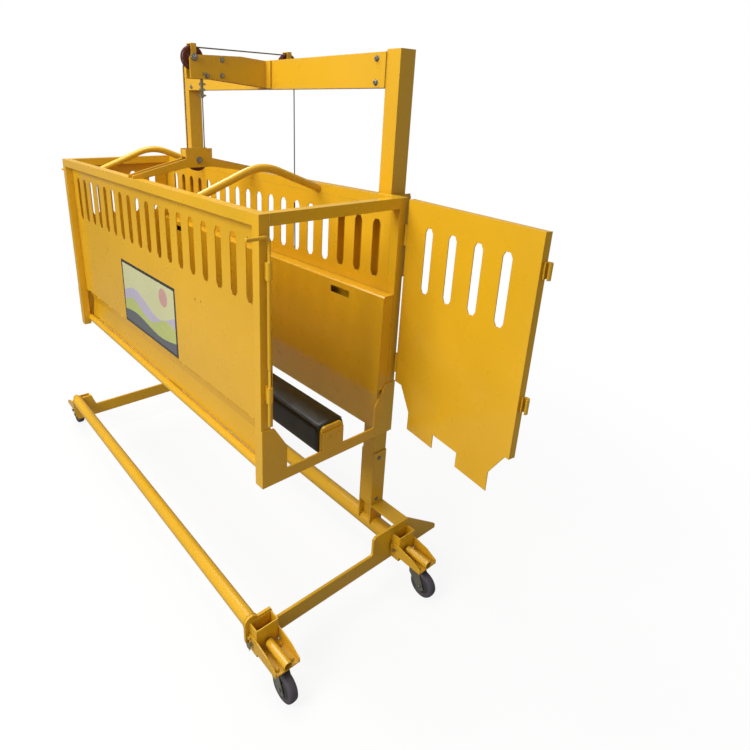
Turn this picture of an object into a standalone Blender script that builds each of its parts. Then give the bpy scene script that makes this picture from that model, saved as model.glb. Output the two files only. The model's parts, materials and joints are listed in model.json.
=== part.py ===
"""Hoof trimming machine: a lifting crate for sows on a wheeled base with two masts.

Metres, +Z up.  X runs across the crate towards the masts, Y runs along it from the
front gate to the rear gate.  The model is built with the crate's front left corner
post at X = Y = 0 and the floor at Z = 0, and is centred on the floor at the end.
"""
import math

import bmesh
import bpy
from mathutils import Matrix, Vector

# Clearances and plain sheet sizes
GAP = 0.0003
SHEET = 0.003
RUNNING = 0.0008
WELD_BITE = 0.001

# Crate, hanging in its raised working position
CRATE_WIDTH = 0.667
CRATE_LENGTH = 2.02
CRATE_HEIGHT = 1.0
CRATE_LIFTED = 0.80
POST = 0.040
TUBE_WALL = 0.0025
VENT = 0.004
SLOT_TOP = CRATE_HEIGHT - 0.093
SLOT_BOTTOM = CRATE_HEIGHT - 0.330
SLOT_WIDTH = 0.043
SLOT_PITCH = 0.1045
SLOT_COUNT = 18
SLOT_FIRST = 0.116
PANEL_FOLD = 0.229
PANEL_SETBACK = POST - SHEET
SKIRT_DEPTH = 0.072
SKIRT_BOTTOM = 0.0545
SKIRT_FOOT_IN = 0.060
BOARD_TOP = CRATE_HEIGHT - 0.378
BOARD_LEDGE_IN = 0.092
BOARD_BEND_IN = 0.095
BOARD_BEND_Z = 0.199
BOARD_FOOT_IN = 0.067
BOARD_FOOT_Z = 0.010
LINING_IN = 0.0505
LINING_BOTTOM = 0.241
HAND_HOLE_Y = 0.2605
HAND_HOLE_LENGTH = 0.117
HAND_HOLE_Z = CRATE_HEIGHT - 0.423
HAND_HOLE_HEIGHT = 0.030
RAIL_RADIUS = 0.019
RAIL_IN = 0.047
RAIL_Z = 0.0395

# End plates of the crate
END_PLATE = 0.006
END_GUSSET_TOP = 0.239
END_GUSSET_WIDTH = 0.109
END_CHAMFER_X = 0.053
END_CHAMFER_Z = 0.144
END_BAR = 0.046
TAB_WIDTH = 0.104
TAB_TOP = 0.125

# Belly beam and its padded saddle
BEAM_WIDTH = 0.112
BEAM_TOP = 0.146
BEAM_ROUND = 0.020
BEAM_SKIRT = 0.028
BEAM_WALL = 0.005
PAD_WIDTH = 0.138
PAD_CROWN = 0.160
PAD_SKIRT = 0.036
PAD_END = 0.012

# Head arches over the crate
ARCH_RADIUS = 0.016
ARCH_Y = 0.485
ARCH_PEAK = 0.0925
ARCH_END = -0.021
ARCH_BEND = 0.085

# Lift bridge on the crate's top rails
BRIDGE_PLATE = 0.008
BRIDGE_SPACING = 0.040
BRIDGE_DEPTH = 0.040
BRIDGE_RISE = 0.074
BRIDGE_BLOCK = 0.132
BRIDGE_BLOCK_TOP = 0.118
BRIDGE_FOOT = 0.060

# Sheaves and wire rope
SHEAVE_RADIUS = 0.050
SHEAVE_PITCH = 0.043
SHEAVE_WIDTH = 0.024
SHEAVE_BORE = 0.0085
SHEAVE_SIDE = 0.004
KEEPER_HALF = 0.013
KEEPER_STRAP = 0.004
KEEPER_CLEAR = 0.003
DEAD_PIN = 0.006
PIN_RADIUS = 0.008
ROPE_RADIUS = 0.003
CRATE_SHEAVE_UP = CRATE_HEIGHT + 0.066
ROOT_SHEAVE_X = 0.838

# Masts and the top beam
MAST_GAP = 0.043
MAST_X = 0.080
MAST_Y = 0.070
MAST_WALL = 0.004
MAST_FRONT = 0.128
HOIST_ROOM = 0.520
MAST_TOP = CRATE_LIFTED + CRATE_HEIGHT + HOIST_ROOM
TIP_SHEAVE_DROP = 0.018
MAST_BOTTOM = 0.296
TOP_BEAM_HEIGHT = 0.127
TOP_BEAM_SETBACK = 0.005
TONGUE_LENGTH = 0.100
TONGUE_THICK = 0.006
ARM_TIP = 0.300
ARM_TIP_DEPTH = 0.098
ARM_ROOT_DEPTH = 0.125
ARM_PLATE = 0.008
ARM_FLANGE = 0.008
CHEEK_REACH = 0.105

# Base frame
PLATE_BOTTOM = 0.120
LOW_BAR_TOP = 0.195
GUSSET_TOP = 0.290
BASE_PLATE = 0.012
BASE_CLEAR = 0.036
PLATE_LEFT = -0.112
PLATE_LEFT_TOP = 0.266
PLATE_LEFT_LOW = 0.170
PLATE_GUSSET_X = 0.565
PLATE_OUTRIGGER = 1.006
OUTRIGGER_EDGE = 0.142
LEFT_TUBE_X = -0.084
LEFT_TUBE_Z = 0.252
LEFT_TUBE_RADIUS = 0.030
RIGHT_TUBE_Z = 0.161
RIGHT_TUBE_RADIUS = 0.040
ROUND_WALL = 0.0035
FOOT_TOP = 0.582
FOOT_PLATE = 0.006
FOOT_SEAT = 0.008
FOOT_RIB = 0.012
BRIDGE_TOP_PLATE = 0.006

# Wheel sockets, fold-up brackets and casters
SOCKET_X = 0.100
SOCKET_Y = 0.050
SOCKET_WALL = 0.005
SOCKET_TOP = 0.258
SOCKET_BOTTOM = 0.130
LEFT_WHEEL_X = -0.045
RIGHT_WHEEL_X = 0.735
EAR = 0.005
BRACKET_PLATE = 0.006
BRACKET_PLATE_Z = 0.158
BRACKET_OUT = 0.181
PIVOT_OUT = 0.014
PIVOT_Z = 0.205
PIVOT_ROUND = 0.0125
PIVOT_PIN = 0.006
PIN_END = 0.010
LOCK_OUT = 0.024
LOCK_Z = 0.182
LEVER_RADIUS = 0.0185
LEVER_WALL = 0.003
LEVER_LENGTH = 0.124
CASTER_PLATE_X = 0.092
CASTER_PLATE_Y = 0.104
CASTER_PLATE = 0.005
SWIVEL_OUT = 0.122
CASTER_TRAIL = 0.043
WHEEL_RADIUS = 0.0625
WHEEL_WIDTH = 0.040
WHEEL_AXLE = 0.005
SHELF_CLEAR = 0.008
FORK_SHEET = 0.003
FORK_CROWN = 0.136
FORK_END = 0.024

# Gates
GATE_LATCH_CLEAR = 0.0135
GATE_DEPTH = 0.030
GATE_BACK = 0.003
GATE_TOP = CRATE_HEIGHT - 0.003
GATE_CUT = 0.005
GATE_RISE = 0.024
GATE_TAB_SIDE = 0.014
GATE_OPEN_DEG = 80.0
GATE_SLOT_COUNT = 4
GATE_SLOT_FIRST = 0.137
GATE_SLOT_PITCH = 0.1218
GATE_SLOT_WIDTH = 0.039
GATE_SLOT_TOP = CRATE_HEIGHT - 0.087
GATE_SLOT_BOTTOM = CRATE_HEIGHT - 0.338
HINGE_IN = 0.004
GATE_EDGE = 0.0092
HINGE_FORWARD = 0.010
KNUCKLE_RADIUS = 0.008
KNUCKLE_LENGTH = 0.040
HINGE_PIN = 0.004
HINGE_HEIGHTS = (0.345, CRATE_HEIGHT - 0.120)

# Latch rods with flats that pass the keepers' throats
LATCH_RADIUS = 0.007
LATCH_FLAT = 0.0042
LATCH_X = 0.024
LATCH_FORWARD = 0.019
LATCH_TOP = CRATE_HEIGHT - 0.068
LATCH_BEND = 0.016
LATCH_END = 0.263
LATCH_HANDLE = 0.085
SLEEVE_WALL = 0.004
SLEEVE_LENGTH = 0.058
SLEEVE_HEIGHTS = (0.385, CRATE_HEIGHT - 0.178)
KEEPER_HEIGHTS = (0.447, CRATE_HEIGHT - 0.116)
KEEPER_LENGTH = 0.052
KEEPER_THROAT = 0.010

# Guide carriages that run along the masts
CARRIAGE_PLATE = 0.006
CARRIAGE_BOTTOM = CRATE_HEIGHT - 0.360
CARRIAGE_TOP = CRATE_HEIGHT - 0.008
CARRIAGE_INSIDE = 0.250
CARRIAGE_OUTSIDE = 0.030
CARRIAGE_CLEAR = 0.002
SHOE_THICKNESS = 0.010
SHOE_HEIGHT = 0.060

# Winch
WINCH_RAIL = 0.060
WINCH_RAIL_Z = 0.755
WINCH_PLATE = 0.006
WINCH_PLATE_TOP = 1.050
WINCH_HALF = 0.047
DRUM_CORE = 0.028
DRUM_FLANGE = 0.050
DRUM_FLANGE_WIDTH = 0.004
DRUM_Z = 0.900
WINDING_TURNS = 8
WINDING_PITCH = 0.0080
GEAR_MODULE = 0.003
GEAR_TEETH = 40
PINION_TEETH = 10
GEAR_WIDTH = 0.010
SHAFT_RADIUS = 0.007
CRANK_RADIUS = 0.200
CRANK_GRIP_RADIUS = 0.014
CRANK_GRIP_LENGTH = 0.110

# Places worked out from the sizes above
MID_X = CRATE_WIDTH / 2
MID_Y = CRATE_LENGTH / 2
MAST_NEAR = CRATE_WIDTH + MAST_GAP
MAST_FAR = MAST_NEAR + MAST_X
MAST_Y_LOW = MAST_FRONT
MAST_Y_HIGH = CRATE_LENGTH - MAST_FRONT - MAST_Y
TUBE_RIGHT_X = MAST_NEAR + MAST_X / 2
BEAM_TOP_Z = MAST_TOP - 0.008
BEAM_BOTTOM_Z = BEAM_TOP_Z - TOP_BEAM_HEIGHT
BEAM_NEAR = MAST_NEAR - TOP_BEAM_SETBACK
BEAM_FAR = BEAM_NEAR + MAST_X
SHEAVE_X = MID_X - 0.0115
ROPE_LIVE_X = SHEAVE_X - SHEAVE_PITCH
ROPE_DEAD_X = SHEAVE_X + SHEAVE_PITCH
ROPE_DOWN_X = ROOT_SHEAVE_X + SHEAVE_PITCH
TIP_SHEAVE_Z = MAST_TOP - TIP_SHEAVE_DROP
CRATE_SHEAVE_Z = CRATE_LIFTED + CRATE_SHEAVE_UP
DEAD_EYE_Z = TIP_SHEAVE_Z - 0.065
DEAD_END_Z = TIP_SHEAVE_Z - 0.165
WINDING_RADIUS = DRUM_CORE + ROPE_RADIUS + GAP * 5
DRUM_X = ROPE_DOWN_X + WINDING_RADIUS
WINDING_START_Y = MID_Y - WINDING_PITCH * WINDING_TURNS / 2 + 0.001
ROPE_LAND_Y = WINDING_START_Y - ROPE_RADIUS * 2 - 0.0014
PINION_Z = DRUM_Z + GEAR_MODULE * (GEAR_TEETH + PINION_TEETH) / 2
FRONT_FACE = -BASE_CLEAR - BASE_PLATE
REAR_FACE = CRATE_LENGTH + BASE_CLEAR + BASE_PLATE
HINGE_X = CRATE_WIDTH - HINGE_IN
GATE_WIDTH = HINGE_X - LATCH_X - GATE_LATCH_CLEAR

COLOURS = {
    "yellow_paint": ((0.80, 0.42, 0.03), 0.38, 0.0),
    "dark_paint": ((0.06, 0.055, 0.045), 0.55, 0.0),
    "maroon_paint": ((0.16, 0.03, 0.02), 0.5, 0.0),
    "zinc": ((0.50, 0.50, 0.44), 0.35, 1.0),
    "wire_rope": ((0.30, 0.30, 0.28), 0.45, 1.0),
    "black_vinyl": ((0.02, 0.02, 0.018), 0.35, 0.0),
    "grey_rubber": ((0.10, 0.095, 0.11), 0.65, 0.0),
}


def clear_scene():
    for item in list(bpy.data.objects):
        bpy.data.objects.remove(item, do_unlink=True)


def material(name):
    found = bpy.data.materials.get(name)
    if found:
        return found
    colour, roughness, metallic = COLOURS[name]
    made = bpy.data.materials.new(name)
    made.use_nodes = True
    shader = made.node_tree.nodes["Principled BSDF"]
    shader.inputs["Base Color"].default_value = (*colour, 1.0)
    shader.inputs["Roughness"].default_value = roughness
    shader.inputs["Metallic"].default_value = metallic
    made.diffuse_color = (*colour, 1.0)
    return made


def pivot(name, place, parent=None):
    """An empty on a joint's axis that carries the pieces of one moving body."""
    empty = bpy.data.objects.new(name, None)
    empty.empty_display_size = 0.05
    bpy.context.collection.objects.link(empty)
    origin = Vector(place)
    if parent:
        empty.parent = parent
        empty.location = origin - Vector(parent["place"])
    else:
        empty.location = origin
    empty["place"] = list(origin)
    return empty


def finish(name, bm, slot, body, smooth=False):
    """Turns a bmesh in assembly coordinates into one named piece of a body."""
    bmesh.ops.remove_doubles(bm, verts=bm.verts, dist=1e-6)
    bmesh.ops.recalc_face_normals(bm, faces=bm.faces)
    mesh = bpy.data.meshes.new(name)
    bm.to_mesh(mesh)
    bm.free()
    mesh.transform(Matrix.Translation(-Vector(body["place"])))
    mesh.materials.append(material(slot))
    item = bpy.data.objects.new(name, mesh)
    bpy.context.collection.objects.link(item)
    item.parent = body
    if smooth:
        shade(item)
    return item


class Weldment:
    """Plates and tubes that are welded into one solid piece."""

    def __init__(self):
        self.parts = []

    def part(self):
        self.parts.append(bmesh.new())
        return self.parts[-1]

    def finish(self, name, slot, body, smooth=False):
        first = self.parts[0]
        item = finish(name, first, slot, body)
        for other in self.parts[1:]:
            combine(item, other, "UNION")
        if smooth:
            shade(item)
        return item


def shade(item):
    item.data.shade_smooth()
    item.data.set_sharp_from_angle(angle=math.radians(35))


def combine(item, other, operation):
    """Joins a bmesh in assembly coordinates to a piece, or cuts it out of the piece."""
    bmesh.ops.recalc_face_normals(other, faces=other.faces)
    mesh = bpy.data.meshes.new("tool")
    other.to_mesh(mesh)
    other.free()
    mesh.transform(Matrix.Translation(-Vector(item.parent["place"])))
    tool = bpy.data.objects.new("tool", mesh)
    bpy.context.collection.objects.link(tool)
    tool.parent = item.parent
    tool.hide_render = True
    tool.display_type = "WIRE"
    boolean = item.modifiers.new("combine", "BOOLEAN")
    boolean.operation = operation
    boolean.solver = "EXACT"
    boolean.object = tool
    graph = bpy.context.evaluated_depsgraph_get()
    result = bpy.data.meshes.new_from_object(item.evaluated_get(graph))
    item.modifiers.clear()
    item.data = result
    bpy.data.objects.remove(tool, do_unlink=True)


def carve(item, cutter):
    """Cuts a bmesh in assembly coordinates out of a piece."""
    combine(item, cutter, "DIFFERENCE")


def add_prism(bm, outline, axis, low, high):
    """Extrudes a flat outline along X, Y or Z between two places."""
    def place(u, v, along):
        if axis == "X":
            return Vector((along, u, v))
        if axis == "Y":
            return Vector((u, along, v))
        return Vector((u, v, along))
    first = [bm.verts.new(place(u, v, low)) for u, v in outline]
    last = [bm.verts.new(place(u, v, high)) for u, v in outline]
    bm.faces.new(first)
    bm.faces.new(list(reversed(last)))
    count = len(outline)
    for i in range(count):
        j = (i + 1) % count
        bm.faces.new((first[i], last[i], last[j], first[j]))
    return first + last


def add_box(bm, low, high):
    outline = [(low[0], low[1]), (high[0], low[1]), (high[0], high[1]), (low[0], high[1])]
    return add_prism(bm, outline, "Z", low[2], high[2])


def add_frame_prism(bm, outer, inner, axis, low, high):
    """A prism with a hole: both outlines have the same number of points."""
    def place(u, v, along):
        if axis == "X":
            return Vector((along, u, v))
        if axis == "Y":
            return Vector((u, along, v))
        return Vector((u, v, along))
    rings = []
    for outline, along in ((outer, low), (outer, high), (inner, high), (inner, low)):
        rings.append([bm.verts.new(place(u, v, along)) for u, v in outline])
    count = len(outer)
    for k in range(4):
        a, b = rings[k], rings[(k + 1) % 4]
        for i in range(count):
            j = (i + 1) % count
            bm.faces.new((a[i], b[i], b[j], a[j]))
    return [v for ring in rings for v in ring]


def rectangle(u0, u1, v0, v1):
    return [(u0, v0), (u1, v0), (u1, v1), (u0, v1)]


def circle(u, v, radius, sides, start=0.0):
    step = 2 * math.pi / sides
    return [(u + radius * math.cos(start + i * step), v + radius * math.sin(start + i * step))
            for i in range(sides)]


def arc(u, v, radius, start_deg, end_deg, steps):
    points = []
    for i in range(steps + 1):
        angle = math.radians(start_deg + (end_deg - start_deg) * i / steps)
        points.append((u + radius * math.cos(angle), v + radius * math.sin(angle)))
    return points


def add_box_tube(bm, u0, u1, v0, v1, wall, axis, low, high):
    outer = rectangle(u0, u1, v0, v1)
    inner = rectangle(u0 + wall, u1 - wall, v0 + wall, v1 - wall)
    return add_frame_prism(bm, outer, inner, axis, low, high)


def add_pipe(bm, u, v, outer, inner, axis, low, high, sides=20):
    return add_frame_prism(bm, circle(u, v, outer, sides), circle(u, v, inner, sides), axis, low, high)


def add_rod(bm, u, v, radius, axis, low, high, sides=12):
    return add_prism(bm, circle(u, v, radius, sides), axis, low, high)


def thicken(points, thickness):
    """The outline of a folded sheet: the line itself and its copy on the left side."""
    offsets = []
    for i, point in enumerate(points):
        here = Vector(point)
        before = (here - Vector(points[i - 1])).normalized() if i else None
        after = (Vector(points[i + 1]) - here).normalized() if i < len(points) - 1 else None
        first = before or after
        second = after or before
        normal_a = Vector((-first.y, first.x))
        normal_b = Vector((-second.y, second.x))
        middle = (normal_a + normal_b).normalized()
        offsets.append(here + middle * (thickness / max(0.3, middle.dot(normal_a))))
    return [tuple(p) for p in points] + [tuple(p) for p in reversed(offsets)]


def add_lathe(bm, profile, axis, u, v, along, sides):
    """Spins a closed profile of (radius, place along the axis) about an axis."""
    rings = []
    for radius, shift in profile:
        ring = []
        for cu, cv in circle(u, v, radius, sides):
            if axis == "Y":
                ring.append(bm.verts.new((cu, along + shift, cv)))
            elif axis == "X":
                ring.append(bm.verts.new((along + shift, cu, cv)))
            else:
                ring.append(bm.verts.new((cu, cv, along + shift)))
        rings.append(ring)
    count = len(rings)
    for k in range(count):
        a, b = rings[k], rings[(k + 1) % count]
        for i in range(sides):
            j = (i + 1) % sides
            bm.faces.new((a[i], b[i], b[j], a[j]))


def add_sweep(bm, path, radius, sides, closed_ends=True):
    """A round tube of one radius along a list of points, with flat filled ends."""
    points = [Vector(p) for p in path]
    normal = None
    rings = []
    for i, point in enumerate(points):
        ahead = points[min(i + 1, len(points) - 1)] - point
        behind = point - points[max(i - 1, 0)]
        tangent = (ahead.normalized() + behind.normalized()).normalized() if 0 < i < len(points) - 1 \
            else (ahead if i == 0 else behind).normalized()
        if normal is None:
            normal = tangent.orthogonal().normalized()
        normal = (normal - tangent * normal.dot(tangent)).normalized()
        side = tangent.cross(normal)
        ring = []
        for k in range(sides):
            angle = 2 * math.pi * k / sides
            ring.append(bm.verts.new(point + normal * (radius * math.cos(angle)) + side * (radius * math.sin(angle))))
        rings.append(ring)
    for a, b in zip(rings, rings[1:]):
        for i in range(sides):
            j = (i + 1) % sides
            bm.faces.new((a[i], a[j], b[j], b[i]))
    if closed_ends:
        bm.faces.new(list(reversed(rings[0])))
        bm.faces.new(rings[-1])


def slot_outline(u, low, high, width, steps=4):
    """An upright slot with round ends."""
    radius = width / 2
    top = arc(u, high - radius, radius, 0, 180, steps)
    bottom = arc(u, low + radius, radius, 180, 360, steps)
    return top + bottom


def both_sides(y):
    return ((y, 1), (CRATE_LENGTH - y, -1))


def base_plate(body, name, face, outward):
    """A laser cut end plate of the base, with two sockets and their pivot pins welded on."""
    back = face - outward * BASE_PLATE
    outline = [(PLATE_LEFT, PLATE_LEFT_LOW), (LEFT_WHEEL_X - SOCKET_X / 2, PLATE_BOTTOM),
               (PLATE_OUTRIGGER, PLATE_BOTTOM), (PLATE_OUTRIGGER, OUTRIGGER_EDGE),
               (MAST_FAR, GUSSET_TOP), (PLATE_GUSSET_X + 0.012, GUSSET_TOP),
               (PLATE_GUSSET_X, GUSSET_TOP - 0.012), (PLATE_GUSSET_X, LOW_BAR_TOP + 0.008),
               (PLATE_GUSSET_X - 0.008, LOW_BAR_TOP),
               (LEFT_WHEEL_X + SOCKET_X * 0.75, LOW_BAR_TOP),
               (LEFT_WHEEL_X + SOCKET_X / 2, PLATE_LEFT_TOP)]
    outline += arc(LEFT_TUBE_X, LEFT_TUBE_Z, LEFT_TUBE_RADIUS + 0.001, 28, 180, 6)
    weld = Weldment()
    add_prism(weld.part(), outline, "Y", min(face, back), max(face, back))
    near = face - outward * WELD_BITE
    far = face + outward * SOCKET_Y
    for x in (LEFT_WHEEL_X, RIGHT_WHEEL_X):
        add_box_tube(weld.part(), x - SOCKET_X / 2, x + SOCKET_X / 2, min(near, far), max(near, far),
                     SOCKET_WALL, "Z", SOCKET_BOTTOM, SOCKET_TOP)
        reach = SOCKET_X / 2 + EAR + PIN_END
        add_rod(weld.part(), face + outward * PIVOT_OUT, PIVOT_Z, PIVOT_PIN, "X", x - reach, x + reach)
    item = weld.finish(name, "yellow_paint", body)
    holes = bmesh.new()
    for x in (LEFT_WHEEL_X, RIGHT_WHEEL_X):
        reach = SOCKET_X / 2 + 0.01
        add_rod(holes, face + outward * LOCK_OUT, LOCK_Z, PIVOT_PIN + GAP, "X", x - reach, x + reach)
    carve(item, holes)
    return item


def build_base(body):
    base_plate(body, "base_plate_front", FRONT_FACE, -1)
    base_plate(body, "base_plate_rear", REAR_FACE, 1)
    low = FRONT_FACE + BASE_PLATE + GAP
    high = REAR_FACE - BASE_PLATE - GAP

    bm = bmesh.new()
    add_pipe(bm, LEFT_TUBE_X, LEFT_TUBE_Z, LEFT_TUBE_RADIUS, LEFT_TUBE_RADIUS - ROUND_WALL, "Y", low, high)
    finish("base_tube_left", bm, "yellow_paint", body, smooth=True)

    bm = bmesh.new()
    add_pipe(bm, TUBE_RIGHT_X, RIGHT_TUBE_Z, RIGHT_TUBE_RADIUS, RIGHT_TUBE_RADIUS - ROUND_WALL, "Y",
             low, high, 24)
    finish("base_tube_right", bm, "yellow_paint", body, smooth=True)


def build_masts(body):
    for name, y, inward in (("mast_front", MAST_Y_LOW, 1), ("mast_rear", MAST_Y_HIGH, -1)):
        weld = Weldment()
        add_box_tube(weld.part(), MAST_NEAR, MAST_FAR, y, y + MAST_Y, MAST_WALL, "Z", MAST_BOTTOM, MAST_TOP - SHEET)
        cap = MAST_TOP - SHEET - WELD_BITE
        add_box(weld.part(), (MAST_NEAR, y, cap), (MAST_FAR, y + MAST_Y, MAST_TOP))
        face = y + MAST_Y if inward > 0 else y
        root = face - inward * WELD_BITE
        tip = face + inward * TONGUE_LENGTH
        near = BEAM_NEAR + MAST_WALL + GAP
        add_box(weld.part(), (near, min(root, tip), BEAM_BOTTOM_Z + MAST_WALL + GAP),
                (near + TONGUE_THICK, max(root, tip), BEAM_TOP_Z - MAST_WALL - GAP))
        weld.finish(name, "yellow_paint", body)


def build_feet(body):
    """Two cheeks with saddles over the round tube, a seat between them and a level top plate."""
    saddle = RIGHT_TUBE_RADIUS + GAP
    left, right = MAST_NEAR, MAST_FAR
    rim = arc(TUBE_RIGHT_X, RIGHT_TUBE_Z, saddle, 158, 22, 10)
    outline = [(left, FOOT_TOP), (left, rim[0][1])] + rim + [(right, rim[-1][1]), (right, FOOT_TOP)]
    seat = MAST_BOTTOM - GAP
    for name, y, face, inward in (("front", MAST_Y_LOW, FRONT_FACE + BASE_PLATE, 1),
                                  ("rear", MAST_Y_HIGH, REAR_FACE - BASE_PLATE, -1)):
        weld = Weldment()
        low, high = y - GAP, y + MAST_Y + GAP
        add_prism(weld.part(), outline, "Y", low - FOOT_PLATE, low)
        add_prism(weld.part(), outline, "Y", high, high + FOOT_PLATE)
        add_box(weld.part(), (left, low - WELD_BITE, seat - FOOT_SEAT), (right, high + WELD_BITE, seat))
        ridge = RIGHT_TUBE_Z + saddle
        add_box(weld.part(), (TUBE_RIGHT_X - FOOT_RIB, low - WELD_BITE, ridge),
                (TUBE_RIGHT_X + FOOT_RIB, high + WELD_BITE, seat - FOOT_SEAT + WELD_BITE))
        end = (low if inward > 0 else high) - inward * (FOOT_PLATE - WELD_BITE)
        start = face + inward * GAP
        add_box(weld.part(), (left, min(start, end), GUSSET_TOP - BRIDGE_TOP_PLATE), (right, max(start, end), GUSSET_TOP))
        weld.finish("mast_foot_" + name, "yellow_paint", body)


def sheave_half():
    """Half the space between the plates that a sheave turns in."""
    return SHEAVE_WIDTH / 2 + SHEAVE_SIDE


def build_top_beam(body):
    weld = Weldment()
    low = MAST_Y_LOW + MAST_Y + 2 * GAP
    high = MAST_Y_HIGH - 2 * GAP
    add_box_tube(weld.part(), BEAM_NEAR, BEAM_FAR, BEAM_BOTTOM_Z, BEAM_TOP_Z, MAST_WALL, "Y", low, high)
    root = BEAM_FAR - WELD_BITE
    for side in (-1, 1):
        near = MID_Y + side * sheave_half()
        far = near + side * ARM_PLATE
        outline = [(root, BEAM_BOTTOM_Z + 0.02), (BEAM_FAR + 0.02, BEAM_BOTTOM_Z + 0.02)]
        outline += arc(ROOT_SHEAVE_X, TIP_SHEAVE_Z, 0.022, -50, 90, 5)
        outline += [(root, BEAM_TOP_Z - 0.002)]
        add_prism(weld.part(), outline, "Y", min(near, far), max(near, far))
    reach = sheave_half() + ARM_PLATE + PIN_END
    add_rod(weld.part(), ROOT_SHEAVE_X, TIP_SHEAVE_Z, PIN_RADIUS, "Y", MID_Y - reach, MID_Y + reach, 16)
    add_sheave_keeper(weld, ROOT_SHEAVE_X, TIP_SHEAVE_Z + 0.004)
    weld.finish("top_beam", "yellow_paint", body)


def add_sheave_keeper(weld, x, foot):
    """A strap over a sheave that keeps the rope in its groove."""
    inner = sheave_half() + WELD_BITE / 2
    outer = inner + KEEPER_STRAP
    crown = TIP_SHEAVE_Z + SHEAVE_RADIUS + KEEPER_CLEAR
    for side in (-1, 1):
        near = MID_Y + side * inner
        far = MID_Y + side * outer
        add_box(weld.part(), (x - KEEPER_HALF, min(near, far), foot), (x + KEEPER_HALF, max(near, far), crown + KEEPER_STRAP))
    add_box(weld.part(), (x - KEEPER_HALF + 0.0003, MID_Y - outer + 0.001, crown),
            (x + KEEPER_HALF - 0.0003, MID_Y + outer - 0.001, crown + KEEPER_STRAP - 0.0003))


def build_arm(body):
    """Two tapered plates and a flange that carry the tip sheave over the crate's middle."""
    weld = Weldment()
    flange = BEAM_NEAR - GAP - ARM_FLANGE
    top = TIP_SHEAVE_Z + 0.012
    reach = sheave_half() + ARM_PLATE + PIN_END
    for side in (-1, 1):
        near = MID_Y + side * sheave_half()
        far = near + side * ARM_PLATE
        root = flange + WELD_BITE
        outline = [(ARM_TIP + 0.012, top), (ARM_TIP, top - 0.012), (ARM_TIP, top - ARM_TIP_DEPTH),
                   (ARM_TIP + 0.115, top - ARM_TIP_DEPTH), (root, top - ARM_ROOT_DEPTH + 0.002), (root, top - 0.004),
                   (ARM_TIP + 0.260, top + 0.006)]
        add_prism(weld.part(), outline, "Y", min(near, far), max(near, far))
    add_box(weld.part(), (flange, MID_Y - 0.060, top - ARM_ROOT_DEPTH), (BEAM_NEAR - GAP, MID_Y + 0.060, top - 0.003))
    add_sheave_keeper(weld, SHEAVE_X, top - 0.030)
    add_rod(weld.part(), SHEAVE_X, TIP_SHEAVE_Z, PIN_RADIUS, "Y", MID_Y - reach, MID_Y + reach, 16)
    item = weld.finish("lift_arm", "yellow_paint", body)
    holes = bmesh.new()
    add_rod(holes, ROPE_DEAD_X, DEAD_EYE_Z, DEAD_PIN + GAP, "Y", MID_Y - reach, MID_Y + reach)
    carve(item, holes)


def sheave(name, body, x, z):
    bm = bmesh.new()
    half = SHEAVE_WIDTH / 2
    groove = SHEAVE_PITCH - ROPE_RADIUS - GAP
    profile = [(SHEAVE_BORE, -half), (SHEAVE_RADIUS, -half), (SHEAVE_RADIUS, -half + 0.003),
               (groove + 0.002, -0.0042), (groove, -0.002), (groove, 0.002), (groove + 0.002, 0.0042),
               (SHEAVE_RADIUS, half - 0.003), (SHEAVE_RADIUS, half), (SHEAVE_BORE, half)]
    add_lathe(bm, profile, "Y", x, z, MID_Y, 20)
    return finish(name, bm, "maroon_paint", body, smooth=True)


def build_rope(base, crate, drum):
    """The wire rope in its five lengths, from the drum to the dead end on the arm."""
    bm = bmesh.new()
    top = TIP_SHEAVE_Z + SHEAVE_PITCH
    path = [(ROPE_DOWN_X, ROPE_LAND_Y, DRUM_Z)]
    path += [(x, MID_Y, z) for x, z in arc(ROOT_SHEAVE_X, TIP_SHEAVE_Z, SHEAVE_PITCH, 0, 90, 8)]
    path += [(x, MID_Y, z) for x, z in arc(SHEAVE_X, TIP_SHEAVE_Z, SHEAVE_PITCH, 90, 180, 8)]
    add_sweep(bm, path, ROPE_RADIUS, 6)
    finish("rope_upper", bm, "wire_rope", base, smooth=True)

    bm = bmesh.new()
    add_rod(bm, ROPE_LIVE_X, MID_Y, ROPE_RADIUS, "Z", CRATE_SHEAVE_Z + GAP, TIP_SHEAVE_Z - GAP, 6)
    finish("rope_live_fall", bm, "wire_rope", base, smooth=True)

    bm = bmesh.new()
    add_rod(bm, ROPE_DEAD_X, MID_Y, ROPE_RADIUS, "Z", CRATE_SHEAVE_Z + GAP, DEAD_END_Z - GAP, 6)
    finish("rope_dead_fall", bm, "wire_rope", base, smooth=True)

    bm = bmesh.new()
    path = [(x, MID_Y, z) for x, z in arc(SHEAVE_X, CRATE_SHEAVE_Z, SHEAVE_PITCH, 180, 360, 16)]
    add_sweep(bm, path, ROPE_RADIUS, 6)
    finish("rope_bight", bm, "wire_rope", crate, smooth=True)

    bm = bmesh.new()
    path = []
    steps = 12
    for i in range(WINDING_TURNS * steps + 1):
        angle = math.pi + 2 * math.pi * i / steps
        path.append((DRUM_X + WINDING_RADIUS * math.cos(angle), WINDING_START_Y + WINDING_PITCH * i / steps,
                     DRUM_Z + WINDING_RADIUS * math.sin(angle)))
    add_sweep(bm, path, ROPE_RADIUS, 6)
    item = finish("rope_winding", bm, "wire_rope", drum, smooth=True)
    clear = min((Vector(path[i]) - Vector(path[i + steps + k])).length
                for i in range(0, len(path) - steps - 1) for k in (-1, 0, 1))
    print("least gap between the rope's turns: %.2f mm" % ((clear - 2 * ROPE_RADIUS) * 1000))
    return item


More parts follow.
